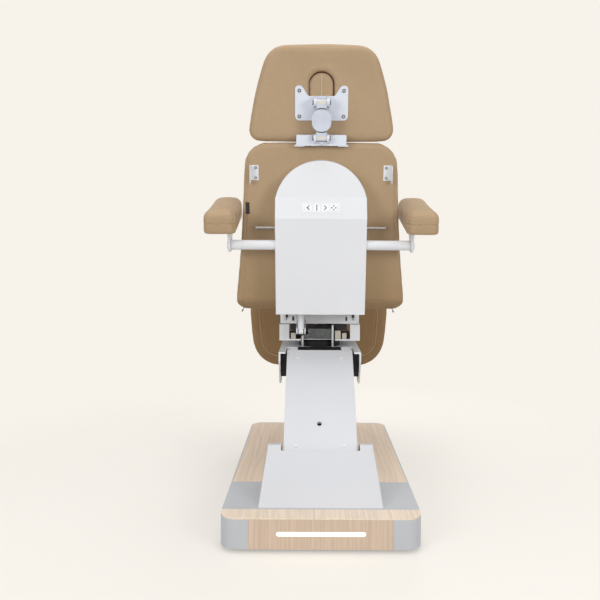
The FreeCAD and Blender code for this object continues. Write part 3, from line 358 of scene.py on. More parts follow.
# Painted light: the deck and rim are paler than the rear panel, for light from above on their top
# faces; the rest is the laminate's own colour.
deck_wood_painted_light = laminate("deck_wood_painted_light", along=(0, 1, 0), seed=1.7, pale=(0.90, 0.73, 0.575))
rim_wood_painted_light = laminate("rim_wood_painted_light", along=(0, 1, 0), seed=2.9, pale=(0.90, 0.755, 0.610))
panel_wood = laminate("panel_wood", along=(0, 0, 1), seed=4.2, pale=(0.70, 0.542, 0.417))
plywood = laminate("plywood", along=(1, 0, 0), seed=8.8, pale=(0.74, 0.56, 0.37))
turned_steel = metal("turned_steel", (0.60, 0.61, 0.63), 0.30, ALONG_X, scratch=60.0)
chrome = metal("chrome", (0.82, 0.83, 0.85), 0.08)
bronze = metal("bronze", (0.60, 0.38, 0.17), 0.34)
dark_screw = metal("dark_screw", (0.17, 0.17, 0.18), 0.34)
bar_steel = metal("bar_steel", (0.46, 0.455, 0.45), 0.20, ALONG_X, scratch=60.0)
cast_silver = metal("cast_silver", (0.63, 0.68, 0.79), 0.40, scratch=500.0, metallic=0.6)
zinc = zinc_plate("zinc")
lens_light = lit("lens_light", (1.0, 0.98, 0.94), strength=1.1)
key_light = lit("key_light", (0.88, 0.885, 0.90), strength=0.06)
strip_light = lit("strip_light", (0.85, 0.855, 0.875), strength=0.02)
mark_ink = moulded("mark_ink", (0.05, 0.05, 0.055), 0.6)
# Painted reflection: bright metal for the hexagon in each screw socket.
socket_shine = metal("socket_shine", (0.56, 0.57, 0.60), 0.35)
gap_shade = moulded("gap_shade", (0.11, 0.115, 0.13), 0.6)
label_cloth = moulded("label_cloth", (0.035, 0.033, 0.035), 0.85, grain=2200.0, depth=0.6)
# Painted shade: dark brown for the sleeve in the gap round the face plug.
hole_painted_shade = moulded("hole_painted_shade", (0.105, 0.062, 0.028), 0.85, grain=1800.0, depth=0.5)

SLOT_FINISH = {
    "grey_shell": grey_shell,
    "light_wood": deck_wood_painted_light,
    "lit_lens": lens_light,
    "dark_paint": dark_coat,
    "rubber": rubber,
    "white_paint": white_coat,
    "black_plastic": black_plastic,
    "steel": turned_steel,
    "zinc": zinc,
    "white_plastic": white_plastic,
    "bronze": bronze,
    "chrome": chrome,
    "bright_link": cast_silver,
    "plywood": plywood,
    "upholstery": tan_leather,
}
NODE_FINISH = {
    "rear_panel": panel_wood,
    "rim_strip": rim_wood_painted_light,
    "button_panel": strip_light,
    "headrest_plate": silver_coat,
    "headrest_crossbar": silver_coat,
    "headrest_screws": dark_screw,
    "roll_screws": dark_screw,
    "swivel_turntable": black_plastic,
    "tilt_drive": black_plastic,
    "carriage": carriage_coat,
    "headrest_pins": dark_screw,
    "accessory_bar": bar_steel,
    "hood": hood_coat_painted_shade,
    "arm_cover": arm_coat_painted_shade,
    "arm_box": arm_coat_painted_shade,
    "arm_screw_caps": white_coat,
}
NODE_FINISH.update({f"button_{number}": key_light for number in range(1, 5)})


def wear(piece, material):
    piece.data.materials.clear()
    piece.data.materials.append(material)


def dress_frame():
    slots = {row["node"]: row["material_slot"] for row in frame["record"]["subparts"]}
    for name, piece in nodes.items():
        wear(piece, NODE_FINISH.get(name, SLOT_FINISH[slots[name]]))


dress_frame()


# Outlines

CORNER_STEPS = 10
RUN_STEP = 0.02


def rounded(corners):
    """Closed line through (a, b, radius) corners, with no long runs."""
    spots = [Vector(corner[:2]) for corner in corners]
    line = []
    for index, corner in enumerate(corners):
        here = spots[index]
        back = (spots[index - 1] - here).normalized()
        ahead = (spots[(index + 1) % len(spots)] - here).normalized()
        half = back.angle(ahead) / 2
        reach = corner[2] / math.tan(half)
        centre = here + (back + ahead).normalized() * (corner[2] / math.sin(half))
        first = here + back * reach - centre
        sweep = math.pi - 2 * half
        turn = 1 if back.cross(ahead) < 0 else -1
        for step in range(CORNER_STEPS + 1):
            spin = Matrix.Rotation(turn * sweep * step / CORNER_STEPS, 2)
            line.append(centre + spin @ first)
    return divided(line)


def divided(line):
    """The same closed line with no run longer than RUN_STEP."""
    full = []
    for index, here in enumerate(line):
        ahead = line[(index + 1) % len(line)]
        count = max(1, math.ceil((ahead - here).length / RUN_STEP))
        full += [here.lerp(ahead, step / count) for step in range(count)]
    return full


def mirrored(half):
    """Corners of a left-right alike outline from its right half, bottom first."""
    return half + [(-a, b, radius) for a, b, radius in reversed(half)]


def box_line(left, right, low, high, radius):
    corners = ((right, low), (right, high), (left, high), (left, low))
    return rounded([(*corner, radius) for corner in corners])


def inset(line, gap):
    """The closed line moved inwards by gap; the line runs anticlockwise."""
    moved = []
    for index, here in enumerate(line):
        along = (line[(index + 1) % len(line)] - line[index - 1]).normalized()
        moved.append(here + Vector((-along.y, along.x)) * gap)
    return moved


def lifted(line, axis, level):
    """A flat outline as points in space at one level along axis."""
    if axis == "Y":
        return [Vector((a, level, b)) for a, b in line]
    return [Vector((a, b, level)) for a, b in line]


def spaced(start, run, count):
    """Even values from start on over run, with count gaps between them."""
    return [start + run * step / count for step in range(count + 1)]


def arc_profile(depth, rear_edge, front_edge, steps=6):
    """(depth, inset) pairs from the rear face to the front face with rounded edges."""
    rear = []
    front = []
    for turn in spaced(0.0, math.pi / 2, steps):
        rise, fall = 1 - math.cos(turn), 1 - math.sin(turn)
        rear.append((rear_edge * rise, rear_edge * fall))
        front.append((depth - front_edge * fall, front_edge * rise))
    return rear + front


# Meshes

def stretch_over(mesh, low, high):
    """Faces between two closed rows of points."""
    for index in range(len(low)):
        ahead = (index + 1) % len(low)
        mesh.faces.new((low[index], low[ahead], high[ahead], high[index]))


def skin(mesh, rings, closed=False):
    """Faces from row to row; the last row meets the first where closed, else both have caps."""
    for low, high in zip(rings, rings[1:] + (rings[:1] if closed else [])):
        stretch_over(mesh, low, high)
    if not closed:
        mesh.faces.new(rings[0])
        mesh.faces.new(rings[-1])


def round_row(mesh, centre, side, up, radius, count):
    """New points on a circle about the centre."""
    row = []
    for turn in range(count):
        angle = math.tau * turn / count
        reach = side * math.cos(angle) + up * math.sin(angle)
        row.append(mesh.verts.new(centre + reach * radius))
    return row


def smooth_shading(piece):
    for face in piece.data.polygons:
        face.use_smooth = True


def new_piece(name, mesh):
    bmesh.ops.recalc_face_normals(mesh, faces=mesh.faces)
    data = bpy.data.meshes.new(name)
    mesh.to_mesh(data)
    mesh.free()
    piece = bpy.data.objects.new(name, data)
    scene.collection.objects.link(piece)
    return piece


def fix(piece, material, body, smooth=True):
    """Dresses a piece of trim and lets it ride on a body."""
    wear(piece, material)
    if smooth:
        smooth_shading(piece)
    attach(piece, body)


def new_trim(name, mesh, matrix, material, body, smooth=True):
    piece = new_piece(name, mesh)
    piece.data.transform(matrix)
    fix(piece, material, body, smooth)


def soft_solid(name, line, profile, axis, start):
    """Closed mesh whose outline lies square to axis and shrinks as the profile says."""
    mesh = bmesh.new()
    rings = []
    for depth, gap in profile:
        ring = lifted(inset(line, gap), axis, start + depth)
        rings.append([mesh.verts.new(spot) for spot in ring])
    skin(mesh, rings)
    return new_piece(name, mesh)


def settle(piece):
    """Turns the piece's modifiers into its mesh."""
    shape = piece.evaluated_get(bpy.context.evaluated_depsgraph_get())
    data = bpy.data.meshes.new_from_object(shape)
    piece.modifiers.clear()
    piece.data = data


def remesh(piece, voxel):
    modifier = piece.modifiers.new("remesh", "REMESH")
    modifier.mode = "VOXEL"
    modifier.voxel_size = voxel
    settle(piece)


def cut_hole(piece, tool):
    modifier = piece.modifiers.new("hole", "BOOLEAN")
    modifier.object = tool
    modifier.solver = "EXACT"
    settle(piece)
    bpy.data.objects.remove(tool)


# Foam and leather

PRESSURE = 4.0
SIM_FRAMES = 20
RELAX_SHARE = 0.5
GRIP_FACING = -0.6
VOXEL = 0.0065
SEAM_INSET = 0.012
STITCH_INSET = 0.017


def inflate(piece, held, cap):
    """Blows the cover up like foam under leather.

    held gives a point's share of grip, and cap is the furthest that a point moves.
    """
    rest = [vertex.co.copy() for vertex in piece.data.vertices]
    group = piece.vertex_groups.new(name="held")
    for vertex in piece.data.vertices:
        group.add([vertex.index], held(vertex.co, vertex.normal), "REPLACE")
    cloth = piece.modifiers.new("cloth", "CLOTH")
    settings = cloth.settings
    settings.quality = 5
    settings.mass = 0.4
    settings.tension_stiffness = 18
    settings.compression_stiffness = 18
    settings.shear_stiffness = 8
    settings.bending_stiffness = 1.5
    settings.use_pressure = True
    settings.uniform_pressure_force = PRESSURE
    settings.vertex_group_mass = "held"
    settings.effector_weights.gravity = 0
    for step in range(1, SIM_FRAMES + 1):
        scene.frame_set(step)
    settle(piece)
    scene.frame_set(1)
    for vertex, origin in zip(piece.data.vertices, rest):
        moved = vertex.co - origin
        if moved.length > cap:
            vertex.co = origin + moved * (cap / moved.length)
    piece.vertex_groups.clear()


def relax(piece, rounds):
    """Smooths out the small steps of the remesh."""
    mesh = bmesh.new()
    mesh.from_mesh(piece.data)
    for _ in range(rounds):
        bmesh.ops.smooth_vert(mesh, verts=mesh.verts, factor=RELAX_SHARE,
                              use_axis_x=True, use_axis_y=True, use_axis_z=True)
    mesh.to_mesh(piece.data)
    mesh.free()


def refine(piece):
    modifier = piece.modifiers.new("subdivision", "SUBSURF")
    modifier.levels = 1
    modifier.render_levels = 1
    settle(piece)


def pad_out(piece, held, cap, rounds=3):
    """Swells, smooths and refines a cushion."""
    inflate(piece, held, cap)
    relax(piece, rounds)
    refine(piece)


def fit_box(piece, wanted):
    """Stretches the piece to the wanted (low, high) along each axis that is given."""
    for axis, (low, high) in wanted.items():
        number = "XYZ".index(axis)
        values = [vertex.co[number] for vertex in piece.data.vertices]
        start = min(values)
        share = (high - low) / (max(values) - start)
        for vertex in piece.data.vertices:
            vertex.co[number] = low + (vertex.co[number] - start) * share


def surface_of(piece):
    spots = [vertex.co for vertex in piece.data.vertices]
    return BVHTree.FromPolygons(spots, [face.vertices for face in piece.data.polygons])


def on_surface(surface, points):
    """(spot, normal) of each point dropped onto the nearest bit of surface."""
    return [surface.find_nearest(point)[:2] for point in points]


def search_tree(points):
    tree = KDTree(len(points))
    for index, spot in enumerate(points):
        tree.insert(spot, index)
    tree.balance()
    return tree


def bell(distance, width):
    """1 at no distance, next to nothing at three widths."""
    return math.exp(-((distance / width) ** 2))


def groove(piece, paths, depth, width):
    """Presses sewn lines into the surface."""
    surface = surface_of(piece)
    tree = search_tree([spot for path in paths for spot, _ in on_surface(surface, path)])
    normals = [vertex.normal.copy() for vertex in piece.data.vertices]
    for vertex, normal in zip(piece.data.vertices, normals):
        distance = tree.find(vertex.co)[2]
        if distance < 3 * width:
            vertex.co -= normal * depth * bell(distance, width)


def pucker(piece, size, height, seed):
    """Slow unevenness of leather pulled over foam."""
    normals = [vertex.normal.copy() for vertex in piece.data.vertices]
    shift = Vector((seed, seed * 0.7, -seed))
    for vertex, normal in zip(piece.data.vertices, normals):
        vertex.co += normal * height * noise.noise(vertex.co / size + shift)


def edge_seam(line, axis, top):
    """Seam just under the rim of a cushion's top face."""
    return lifted(inset(line, SEAM_INSET), axis, top - SEAM_INSET)


def edge_stitches(line, axis, top):
    """Row of stitches just inside the rim of a cushion's top face."""
    return lifted(inset(line, STITCH_INSET), axis, top)


def rear_held(level):
    """Grip of a cushion on the board behind it."""
    def held(spot, normal):
        return 1.0 if normal.y < GRIP_FACING and spot.y < level else 0.0
    return held


def even_walk(points, step, closed):
    """(spot, heading) pairs every step metres along a line of points."""
    line = list(points) + ([points[0]] if closed else [])
    walked = []
    left = step / 2
    for here, ahead in zip(line, line[1:]):
        run = (ahead - here).length
        while left <= run and run > 0:
            walked.append((here.lerp(ahead, left / run), (ahead - here).normalized()))
            left += step
        left -= run
    return walked


STITCH_STEP = 0.0065
STITCH_LENGTH = 0.0046
STITCH_RADIUS = 0.00055
STITCH_POINTS = 6
# Share of the length, height over the surface and share of the radius, from end to end.
STITCH_ROWS = ((-0.5, -0.0005, 0.5), (-0.3, 0.0003, 1.0), (0.3, 0.0003, 1.0), (0.5, -0.0005, 0.5))
WELT_POINTS = 8


def add_stitch(mesh, spot, heading, normal):
    """One short thread, sunk at both ends."""
    side = heading.cross(normal).normalized()
    rings = []
    for share, lift, size in STITCH_ROWS:
        centre = spot + heading * STITCH_LENGTH * share + normal * lift
        rings.append(round_row(mesh, centre, side, normal, STITCH_RADIUS * size, STITCH_POINTS))
    skin(mesh, rings)


def sew(name, surface, paths, closed, body, matrix):
    """A row of stitches along each path on the surface."""
    mesh = bmesh.new()
    for path in paths:
        for spot, heading in even_walk(path, STITCH_STEP, closed):
            point, normal = surface.find_nearest(spot)[:2]
            add_stitch(mesh, point, heading, normal)
    new_trim(name, mesh, matrix, thread, body)


def welt(name, surface, path, radius, body, matrix, sink=0.4, closed=True):
    """A round piping cord that follows a path on the surface, in paler leather as a painted
    highlight.
    """
    spots = on_surface(surface, path)
    mesh = bmesh.new()
    rings = []
    count = len(spots)
    for index, (spot, normal) in enumerate(spots):
        ahead = (index + 1) % count if closed else min(index + 1, count - 1)
        behind = index - 1 if closed else max(index - 1, 0)
        heading = (spots[ahead][0] - spots[behind][0]).normalized()
        side = heading.cross(normal).normalized()
        up = side.cross(heading)
        centre = spot - up * radius * sink
        rings.append(round_row(mesh, centre, side, up, radius, WELT_POINTS))
    skin(mesh, rings, closed)
    new_trim(name, mesh, matrix, piping_leather_painted_highlight, body)


def cover(piece, node, body, matrix):
    """Puts a finished cushion in its place on the chair."""
    piece.data.transform(matrix)
    wear(piece, tan_leather)
    smooth_shading(piece)
    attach(piece, body)
    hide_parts(node)


# Backrest

BACK_LINE = mirrored([(0.311, 0.002, 0.040), (0.283, 0.25, 0.5), (0.261, 0.617, 0.078)])
BACK_DEPTH = 0.078
BACK_GRIP_DEPTH = 0.010
BACK_BOX = {"X": (-0.3125, 0.3125), "Z": (-0.0085, 0.6200)}
REAR_CREASE = 0.036
CREASE_STEPS = 60
REAR_SEAM_FOOT = 0.2855
REAR_SEAM_DRIFT = 0.042
REAR_SEAM_LOW = 0.03
REAR_SEAM_RUN = 0.53


def slant_below(piece, crease, slope, depth):
    """Lets the rear face fall away forwards under the crease."""
    for vertex in piece.data.vertices:
        drop = crease - vertex.co.z
        if drop > 0:
            vertex.co.y += slope * drop * max(0.0, 1.0 - max(vertex.co.y, 0.0) / depth)


def rear_half(level):
    """Half of the rear panel's width between its seams."""
    return REAR_SEAM_FOOT - REAR_SEAM_DRIFT * level


def back_cushion():
    line = rounded(BACK_LINE)
    profile = arc_profile(BACK_DEPTH, rear_edge=0.018, front_edge=0.026)
    piece = soft_solid("back_upholstery", line, profile, "Y", 0.0)
    remesh(piece, VOXEL)
    pad_out(piece, rear_held(BACK_GRIP_DEPTH), cap=0.011)
    fit_box(piece, BACK_BOX)
    slant_below(piece, REAR_CREASE, slope=0.80, depth=0.06)
    levels = spaced(REAR_SEAM_LOW, REAR_SEAM_RUN, count=60)
    rear_seams = [[Vector((side * rear_half(level), 0.0, level)) for level in levels]
                  for side in (-1, 1)]
    half = rear_half(REAR_CREASE)
    crease = [Vector((half * (step / CREASE_STEPS - 1), 0.0, REAR_CREASE))
              for step in range(2 * CREASE_STEPS + 1)]
    groove(piece, [edge_seam(line, "Y", BACK_DEPTH)], depth=0.0022, width=0.005)
    groove(piece, rear_seams, depth=0.0026, width=0.0042)
    groove(piece, [crease], depth=0.0030, width=0.0036)
    pucker(piece, size=0.09, height=0.0008, seed=3.1)
    surface = surface_of(piece)
    stitches = edge_stitches(line, "Y", BACK_DEPTH)
    sew("back_front_stitches", surface, [stitches], True, "backrest", BACK)
    sew("back_rear_stitches", surface, rear_seams, False, "backrest", BACK)
    side_tag(surface)
    zip_pulls(surface)
    cover(piece, "back_cushion", "backrest", BACK)


TAG_LEFT = -0.2715
TAG_RIGHT = -0.2570
TAG_LOW = 0.366
TAG_HIGH = 0.408
TAG_COLUMNS = 4
TAG_ROWS = 8
TAG_PROUD = 0.0012
TAG_SUNK = 0.0010
TAG_RAY_START = -0.3


def side_tag(surface):
    """Plain dark cloth tag, sewn flat on the rear of the cushion."""
    mesh = bmesh.new()
    rows = []
    for level in spaced(TAG_LOW, TAG_HIGH - TAG_LOW, TAG_ROWS):
        row = []
        for across in spaced(TAG_LEFT, TAG_RIGHT - TAG_LEFT, TAG_COLUMNS):
            start = Vector((across, TAG_RAY_START, level))
            spot, normal = surface.ray_cast(start, Vector((0, 1, 0)))[:2]
            outer = mesh.verts.new(spot + normal * TAG_PROUD)
            row.append((outer, mesh.verts.new(spot - normal * TAG_SUNK)))
        rows.append(row)
    for low, high in zip(rows, rows[1:]):
        for layer in (0, 1):
            for left in range(TAG_COLUMNS):
                right = left + 1
                mesh.faces.new((low[left][layer], low[right][layer],
                                high[right][layer], high[left][layer]))
        for column in (0, -1):
            mesh.faces.new((*low[column], *reversed(high[column])))
    for row in (rows[0], rows[-1]):
        for here, ahead in zip(row, row[1:]):
            mesh.faces.new((*here, *reversed(ahead)))
    new_trim("side_tag", mesh, BACK, label_cloth, "backrest")


# Place across and sideways lean of each pull.
ZIP_SPOTS = ((-0.287, -0.55), (0.272, 0.45))
ZIP_DEPTH = 0.030
ZIP_RAY_START = -0.2
ZIP_HALF_THICK = 0.0008
ZIP_REAR_LEAN = -0.25
# Distance from the seam and half width, from the slider to the tip.
ZIP_PROFILE = (
    (-0.003, 0.0022), (0.004, 0.0022), (0.006, 0.0012), (0.009, 0.0012),
    (0.011, 0.0024), (0.018, 0.0027), (0.020, 0.0018),
)
SQUARE = ((-1, -1), (1, -1), (1, 1), (-1, 1))


def zip_pulls(surface):
    """Small metal pulls of the cover's zip, under its bottom edge."""
    for number, (across, lean) in enumerate(ZIP_SPOTS, 1):
        start = Vector((across, ZIP_DEPTH, ZIP_RAY_START))
        spot = surface.ray_cast(start, Vector((0, 0, 1)))[0]
        along = Vector((lean, ZIP_REAR_LEAN, -1)).normalized()
        side = along.cross(Vector((0, 1, 0))).normalized()
        front = side.cross(along)
        mesh = bmesh.new()
        rings = []
        for reach, width in ZIP_PROFILE:
            centre = spot + along * reach
            rings.append([mesh.verts.new(centre + side * width * a + front * ZIP_HALF_THICK * b)
                          for a, b in SQUARE])
        skin(mesh, rings)
        new_trim(f"zip_pull_{number}", mesh, BACK, dark_screw, "backrest")


# Headrest

HEAD_LINE = mirrored([(0.261, 0.626, 0.034), (0.2285, 0.785, 0.5), (0.183, 0.948, 0.076)])
HEAD_BOX = {"X": (-0.2545, 0.2545), "Z": (0.6205, 0.9530)}
HEAD_START = 0.002
HEAD_DEPTH = 0.070
HEAD_FRONT = HEAD_START + HEAD_DEPTH
HEAD_GRIP_DEPTH = 0.01
HOLE_GAP = 0.0025
HOLE_CUT = [(-0.05, 0), (0.15, 0)]
HOLE_GRIP = (0.055, 0.085)
RIM_GAP = 0.016
RIM_FACING = 0.3
# Painted shade sleeve in the face hole: its gaps to the plug's outline and its depths.
SLEEVE_INNER = 0.0006
SLEEVE_OUTER = 0.0060
SLEEVE_REAR = 0.016
SLEEVE_FRONT = 0.056
PLUG_LOW = 0.765
PLUG_HIGH = 0.818
PLUG_RADIUS = 0.041
PLUG_ROUNDNESS = 0.98
PLUG_STANDOFF = 0.001
PLUG_SEAM_DROP = 0.035
PLUG_SEAM_RUN = 0.123
PLUG_ROW_GAP = 0.0045


def plug_line(radius):
    return box_line(-radius, radius, PLUG_LOW - radius, PLUG_HIGH + radius,
                    radius * PLUG_ROUNDNESS)


def rim_swell(piece, height, width):
    """Raises the leather round the face hole on both faces."""
    tree = search_tree(lifted(plug_line(PLUG_RADIUS + RIM_GAP), "Y", 0))
    for vertex in piece.data.vertices:
        distance = tree.find((vertex.co.x, 0, vertex.co.z))[2]
        if distance < 3 * width and abs(vertex.normal.y) > RIM_FACING:
            vertex.co.y += math.copysign(height, vertex.normal.y) * bell(distance, width)


def headrest_cushion():
    line = rounded(HEAD_LINE)
    profile = arc_profile(HEAD_DEPTH, rear_edge=0.022, front_edge=0.026)
    piece = soft_solid("headrest_upholstery", line, profile, "Y", HEAD_START)
    hole = soft_solid("face_hole", plug_line(PLUG_RADIUS + HOLE_GAP), HOLE_CUT, "Y", HEAD_START)
    cut_hole(piece, hole)
    remesh(piece, voxel=0.0055)
    on_board = rear_held(HEAD_START + HEAD_GRIP_DEPTH)

    def held(spot, normal):
        flat = Vector((spot.x, spot.z - (PLUG_LOW + PLUG_HIGH) / 2))
        in_hole = abs(flat.x) < HOLE_GRIP[0] and abs(flat.y) < HOLE_GRIP[1]
        return 1.0 if in_hole else on_board(spot, normal)

    pad_out(piece, held, cap=0.009, rounds=4)
    fit_box(piece, HEAD_BOX)
    rim_swell(piece, height=0.0028, width=0.011)
    groove(piece, [edge_seam(line, "Y", HEAD_FRONT)], depth=0.0020, width=0.005)
    pucker(piece, size=0.08, height=0.0007, seed=8.4)
    stitches = edge_stitches(line, "Y", HEAD_FRONT)
    sew("headrest_stitches", surface_of(piece), [stitches], True, "headrest", BACK)
    cover(piece, "headrest_cushion", "headrest", BACK)
    hole_shade_sleeve()


def hole_shade_sleeve():
    """Dark sleeve on the wall of the face hole, half way in, as painted shade in the gap round the
    plug.
    """
    mesh = bmesh.new()
    inner = plug_line(PLUG_RADIUS + SLEEVE_INNER)
    outer = plug_line(PLUG_RADIUS + SLEEVE_OUTER)
    rings = []
    for line, depth in ((inner, SLEEVE_REAR), (inner, SLEEVE_FRONT),
                        (outer, SLEEVE_FRONT), (outer, SLEEVE_REAR)):
        rings.append([mesh.verts.new(spot) for spot in lifted(line, "Y", HEAD_START + depth)])
    skin(mesh, rings, closed=True)
    new_trim("face_hole_lining", mesh, BACK, hole_painted_shade, "headrest")


def face_plug():
    profile = arc_profile(HEAD_DEPTH, rear_edge=0.010, front_edge=0.012)
    piece = soft_solid("face_plug_upholstery", plug_line(PLUG_RADIUS), profile, "Y",
                       HEAD_START + PLUG_STANDOFF)
    remesh(piece, voxel=0.004)
    relax(piece, rounds=2)
    refine(piece)
    levels = spaced(PLUG_LOW - PLUG_SEAM_DROP, PLUG_SEAM_RUN, count=40)
    rear_seam = [Vector((0, HEAD_START, level)) for level in levels]
    front_seam = [Vector((0, HEAD_FRONT, level)) for level in levels]
    groove(piece, [rear_seam, front_seam], depth=0.0012, width=0.004)
    surface = surface_of(piece)
    rows = [[spot + Vector((side * PLUG_ROW_GAP, 0, 0)) for spot in rear_seam]
            for side in (-1, 1)]
    sew("face_plug_stitches", surface, rows, False, "face_plug", BACK)
    welt("face_plug_piping", surface, rear_seam, 0.0016, "face_plug", BACK, sink=0.2, closed=False)
    cover(piece, "face_plug", "face_plug", BACK)


# Seat

SEAT_LINE = [
    (-0.297, 0.004, 0.040), (0.297, 0.004, 0.040), (0.297, 0.436, 0.062), (-0.297, 0.436, 0.062),
]
SEAT_START = 0.012
SEAT_DEPTH = 0.056
SEAT_TOP = SEAT_START + SEAT_DEPTH
SEAT_REAR_BAND = 0.05
SEAT_REAR_GRIP = 0.85


def seat_cushion():
    line = rounded(SEAT_LINE)
    profile = arc_profile(SEAT_DEPTH, rear_edge=0.006, front_edge=0.026)
    piece = soft_solid("seat_upholstery", line, profile, "Z", SEAT_START)
    remesh(piece, VOXEL)

    def held(spot, normal):
        if normal.z < GRIP_FACING:
            return 1.0
        return SEAT_REAR_GRIP if spot.y < SEAT_REAR_BAND else 0.0

    pad_out(piece, held, cap=0.010)
    groove(piece, [edge_seam(line, "Z", SEAT_TOP)], depth=0.0022, width=0.005)
    pucker(piece, size=0.09, height=0.0008, seed=5.7)
    stitches = edge_stitches(line, "Z", SEAT_TOP)
    sew("seat_stitches", surface_of(piece), [stitches], True, "seat", SEAT)
    cover(piece, "seat_cushion", "seat", SEAT)


# Leg rest

LEG_LINE = mirrored([(0.2870, 0.376, 0.118), (0.305, 0.578, 0.3), (0.309, 0.734, 0.034)])
LEG_BOX = {"X": (-0.3125, 0.3125), "Z": (0.3695, 0.7370)}
LEG_REAR = 0.474
LEG_DEPTH = 0.074
LEG_FRONT = LEG_REAR + LEG_DEPTH
LEG_GRIP_DEPTH = 0.010
LEG_WELT_INSET = 0.038
LEG_WELT_RADIUS = 0.0027
LEG_FOLD_INSET = 0.043


def legrest_cushion():
    line = rounded(LEG_LINE)
    profile = arc_profile(LEG_DEPTH, rear_edge=0.020, front_edge=0.026)
    piece = soft_solid("legrest_upholstery", line, profile, "Y", LEG_REAR)
    remesh(piece, VOXEL)
    pad_out(piece, rear_held(LEG_REAR + LEG_GRIP_DEPTH), cap=0.010)
    fit_box(piece, LEG_BOX)
    welt_line = lifted(inset(line, LEG_WELT_INSET), "Y", LEG_REAR)
    fold_line = lifted(inset(line, LEG_FOLD_INSET), "Y", LEG_REAR)
    groove(piece, [fold_line], depth=0.0034, width=0.0045)
    groove(piece, [edge_seam(line, "Y", LEG_FRONT)], depth=0.0020, width=0.005)
    pucker(piece, size=0.09, height=0.0008, seed=1.3)
    surface = surface_of(piece)
    welt("legrest_welt", surface, welt_line, LEG_WELT_RADIUS, "legrest", UPRIGHT)
    stitches = edge_stitches(line, "Y", LEG_FRONT)
    sew("legrest_stitches", surface, [stitches], True, "legrest", UPRIGHT)
    cover(piece, "legrest_cushion", "legrest", UPRIGHT)


# Armrests

ARMREST_INNER = 0.287
ARMREST_OUTER = 0.393
ARMREST_REAR = -0.097
ARMREST_FRONT = 0.324
ARMREST_REAR_RADIUS = 0.024
ARMREST_FRONT_RADIUS = 0.040
ARMREST_BOTTOM = 0.058
ARMREST_HEIGHT = 0.080
ARMREST_FOOT_EDGE = 0.004
ARMREST_SEAM = 0.031
ARMREST_SEAM_GRIP = 0.004
ARMREST_SHOULDER = 0.028
ARMREST_OUTER_PROUD = 0.006
ARMREST_SPLAY = math.radians(3.1)
ARMREST_CORNER = (0.284, -0.100)
ARMREST_BOX = {"Y": (-0.1005, 0.3275), "Z": (0.0540, 0.1415)}
ARMREST_STITCH_RISE = 0.005
CORNER_SEAM_INSET = 0.006
CORNER_SEAM_RUN = 0.058
GATHER_FORWARD = 0.03
GATHER_RISE = 0.014
GATHER_REACH = 0.045
GATHER_LEAST = 0.02
GATHER_HEIGHT = 0.0009
GATHER_FOLDS = 480
GATHER_WANDER = 2.0
GATHER_GRAIN = 40


def armrest_profile():
    """Boxed sides with a rounded shoulder under the top."""
    rows = [(0.0, ARMREST_FOOT_EDGE), (ARMREST_FOOT_EDGE, 0.0), (ARMREST_SEAM, 0.0)]
    straight = ARMREST_HEIGHT - ARMREST_SHOULDER
    for turn in spaced(0.0, math.pi / 2, count=8):
        rows.append((straight + ARMREST_SHOULDER * math.sin(turn),
                     ARMREST_SHOULDER * (1 - math.cos(turn))))
    return rows


def armrest_pad(name, side):
    left, right = sorted((side * ARMREST_INNER, side * ARMREST_OUTER))
    line = rounded([
        (left, ARMREST_REAR, ARMREST_REAR_RADIUS), (right, ARMREST_REAR, ARMREST_REAR_RADIUS),
        (right, ARMREST_FRONT, ARMREST_FRONT_RADIUS), (left, ARMREST_FRONT, ARMREST_FRONT_RADIUS),
    ])
    piece = soft_solid(f"armrest_upholstery_{name}", line, armrest_profile(), "Z", ARMREST_BOTTOM)
    remesh(piece, voxel=0.005)

    def held(spot, normal):
        near_seam = abs(spot.z - ARMREST_BOTTOM - ARMREST_SEAM) < ARMREST_SEAM_GRIP
        return 1.0 if normal.z < GRIP_FACING or near_seam else 0.0

    pad_out(piece, held, cap=0.006)
    edges = sorted((side * ARMREST_INNER, side * (ARMREST_OUTER + ARMREST_OUTER_PROUD)))
    fit_box(piece, {"X": tuple(edges), **ARMREST_BOX})
    seam_line = lifted(line, "Z", ARMREST_BOTTOM + ARMREST_SEAM)
    seam = [spot for spot, _ in on_surface(surface_of(piece), seam_line)]
    inner = side * (ARMREST_INNER + CORNER_SEAM_INSET)
    corner = [Vector((inner, ARMREST_REAR + CORNER_SEAM_INSET, level))
              for level in spaced(ARMREST_BOTTOM + CORNER_SEAM_INSET, CORNER_SEAM_RUN, count=30)]
    groove(piece, [seam], depth=0.0030, width=0.0030)
    groove(piece, [corner], depth=0.0036, width=0.0050)
    gather(piece, side)
    stitches = [spot + Vector((0, 0, ARMREST_STITCH_RISE)) for spot in seam]
    matrix = splayed(side)
    sew(f"armrest_stitches_{name}", surface_of(piece), [stitches], True, f"armrest_{name}", matrix)
    cover(piece, f"armrest_pad_{name}", f"armrest_{name}", matrix)


def splayed(side):
    """Frame of a pad, which is turned outward about its inner rear corner."""
    corner = Matrix.Translation((side * ARMREST_CORNER[0], ARMREST_CORNER[1], 0))
    return ARMREST @ corner @ Matrix.Rotation(-side * ARMREST_SPLAY, 4, "Z") @ corner.inverted()


def gather(piece, side):
    """Small gathers where the dome is drawn in at its inner rear corner."""
    normals = [vertex.normal.copy() for vertex in piece.data.vertices]
    corner = Vector((side * ARMREST_INNER, ARMREST_REAR + GATHER_FORWARD,
                     ARMREST_BOTTOM + ARMREST_SEAM + GATHER_RISE))
    for vertex, normal in zip(piece.data.vertices, normals):
        away = vertex.co - corner
        share = bell(away.length, GATHER_REACH)
        if share > GATHER_LEAST:
            wander = GATHER_WANDER * noise.noise(vertex.co * GATHER_GRAIN)
            fold = math.sin(away.z * GATHER_FOLDS + wander)
            vertex.co += normal * GATHER_HEIGHT * share * fold


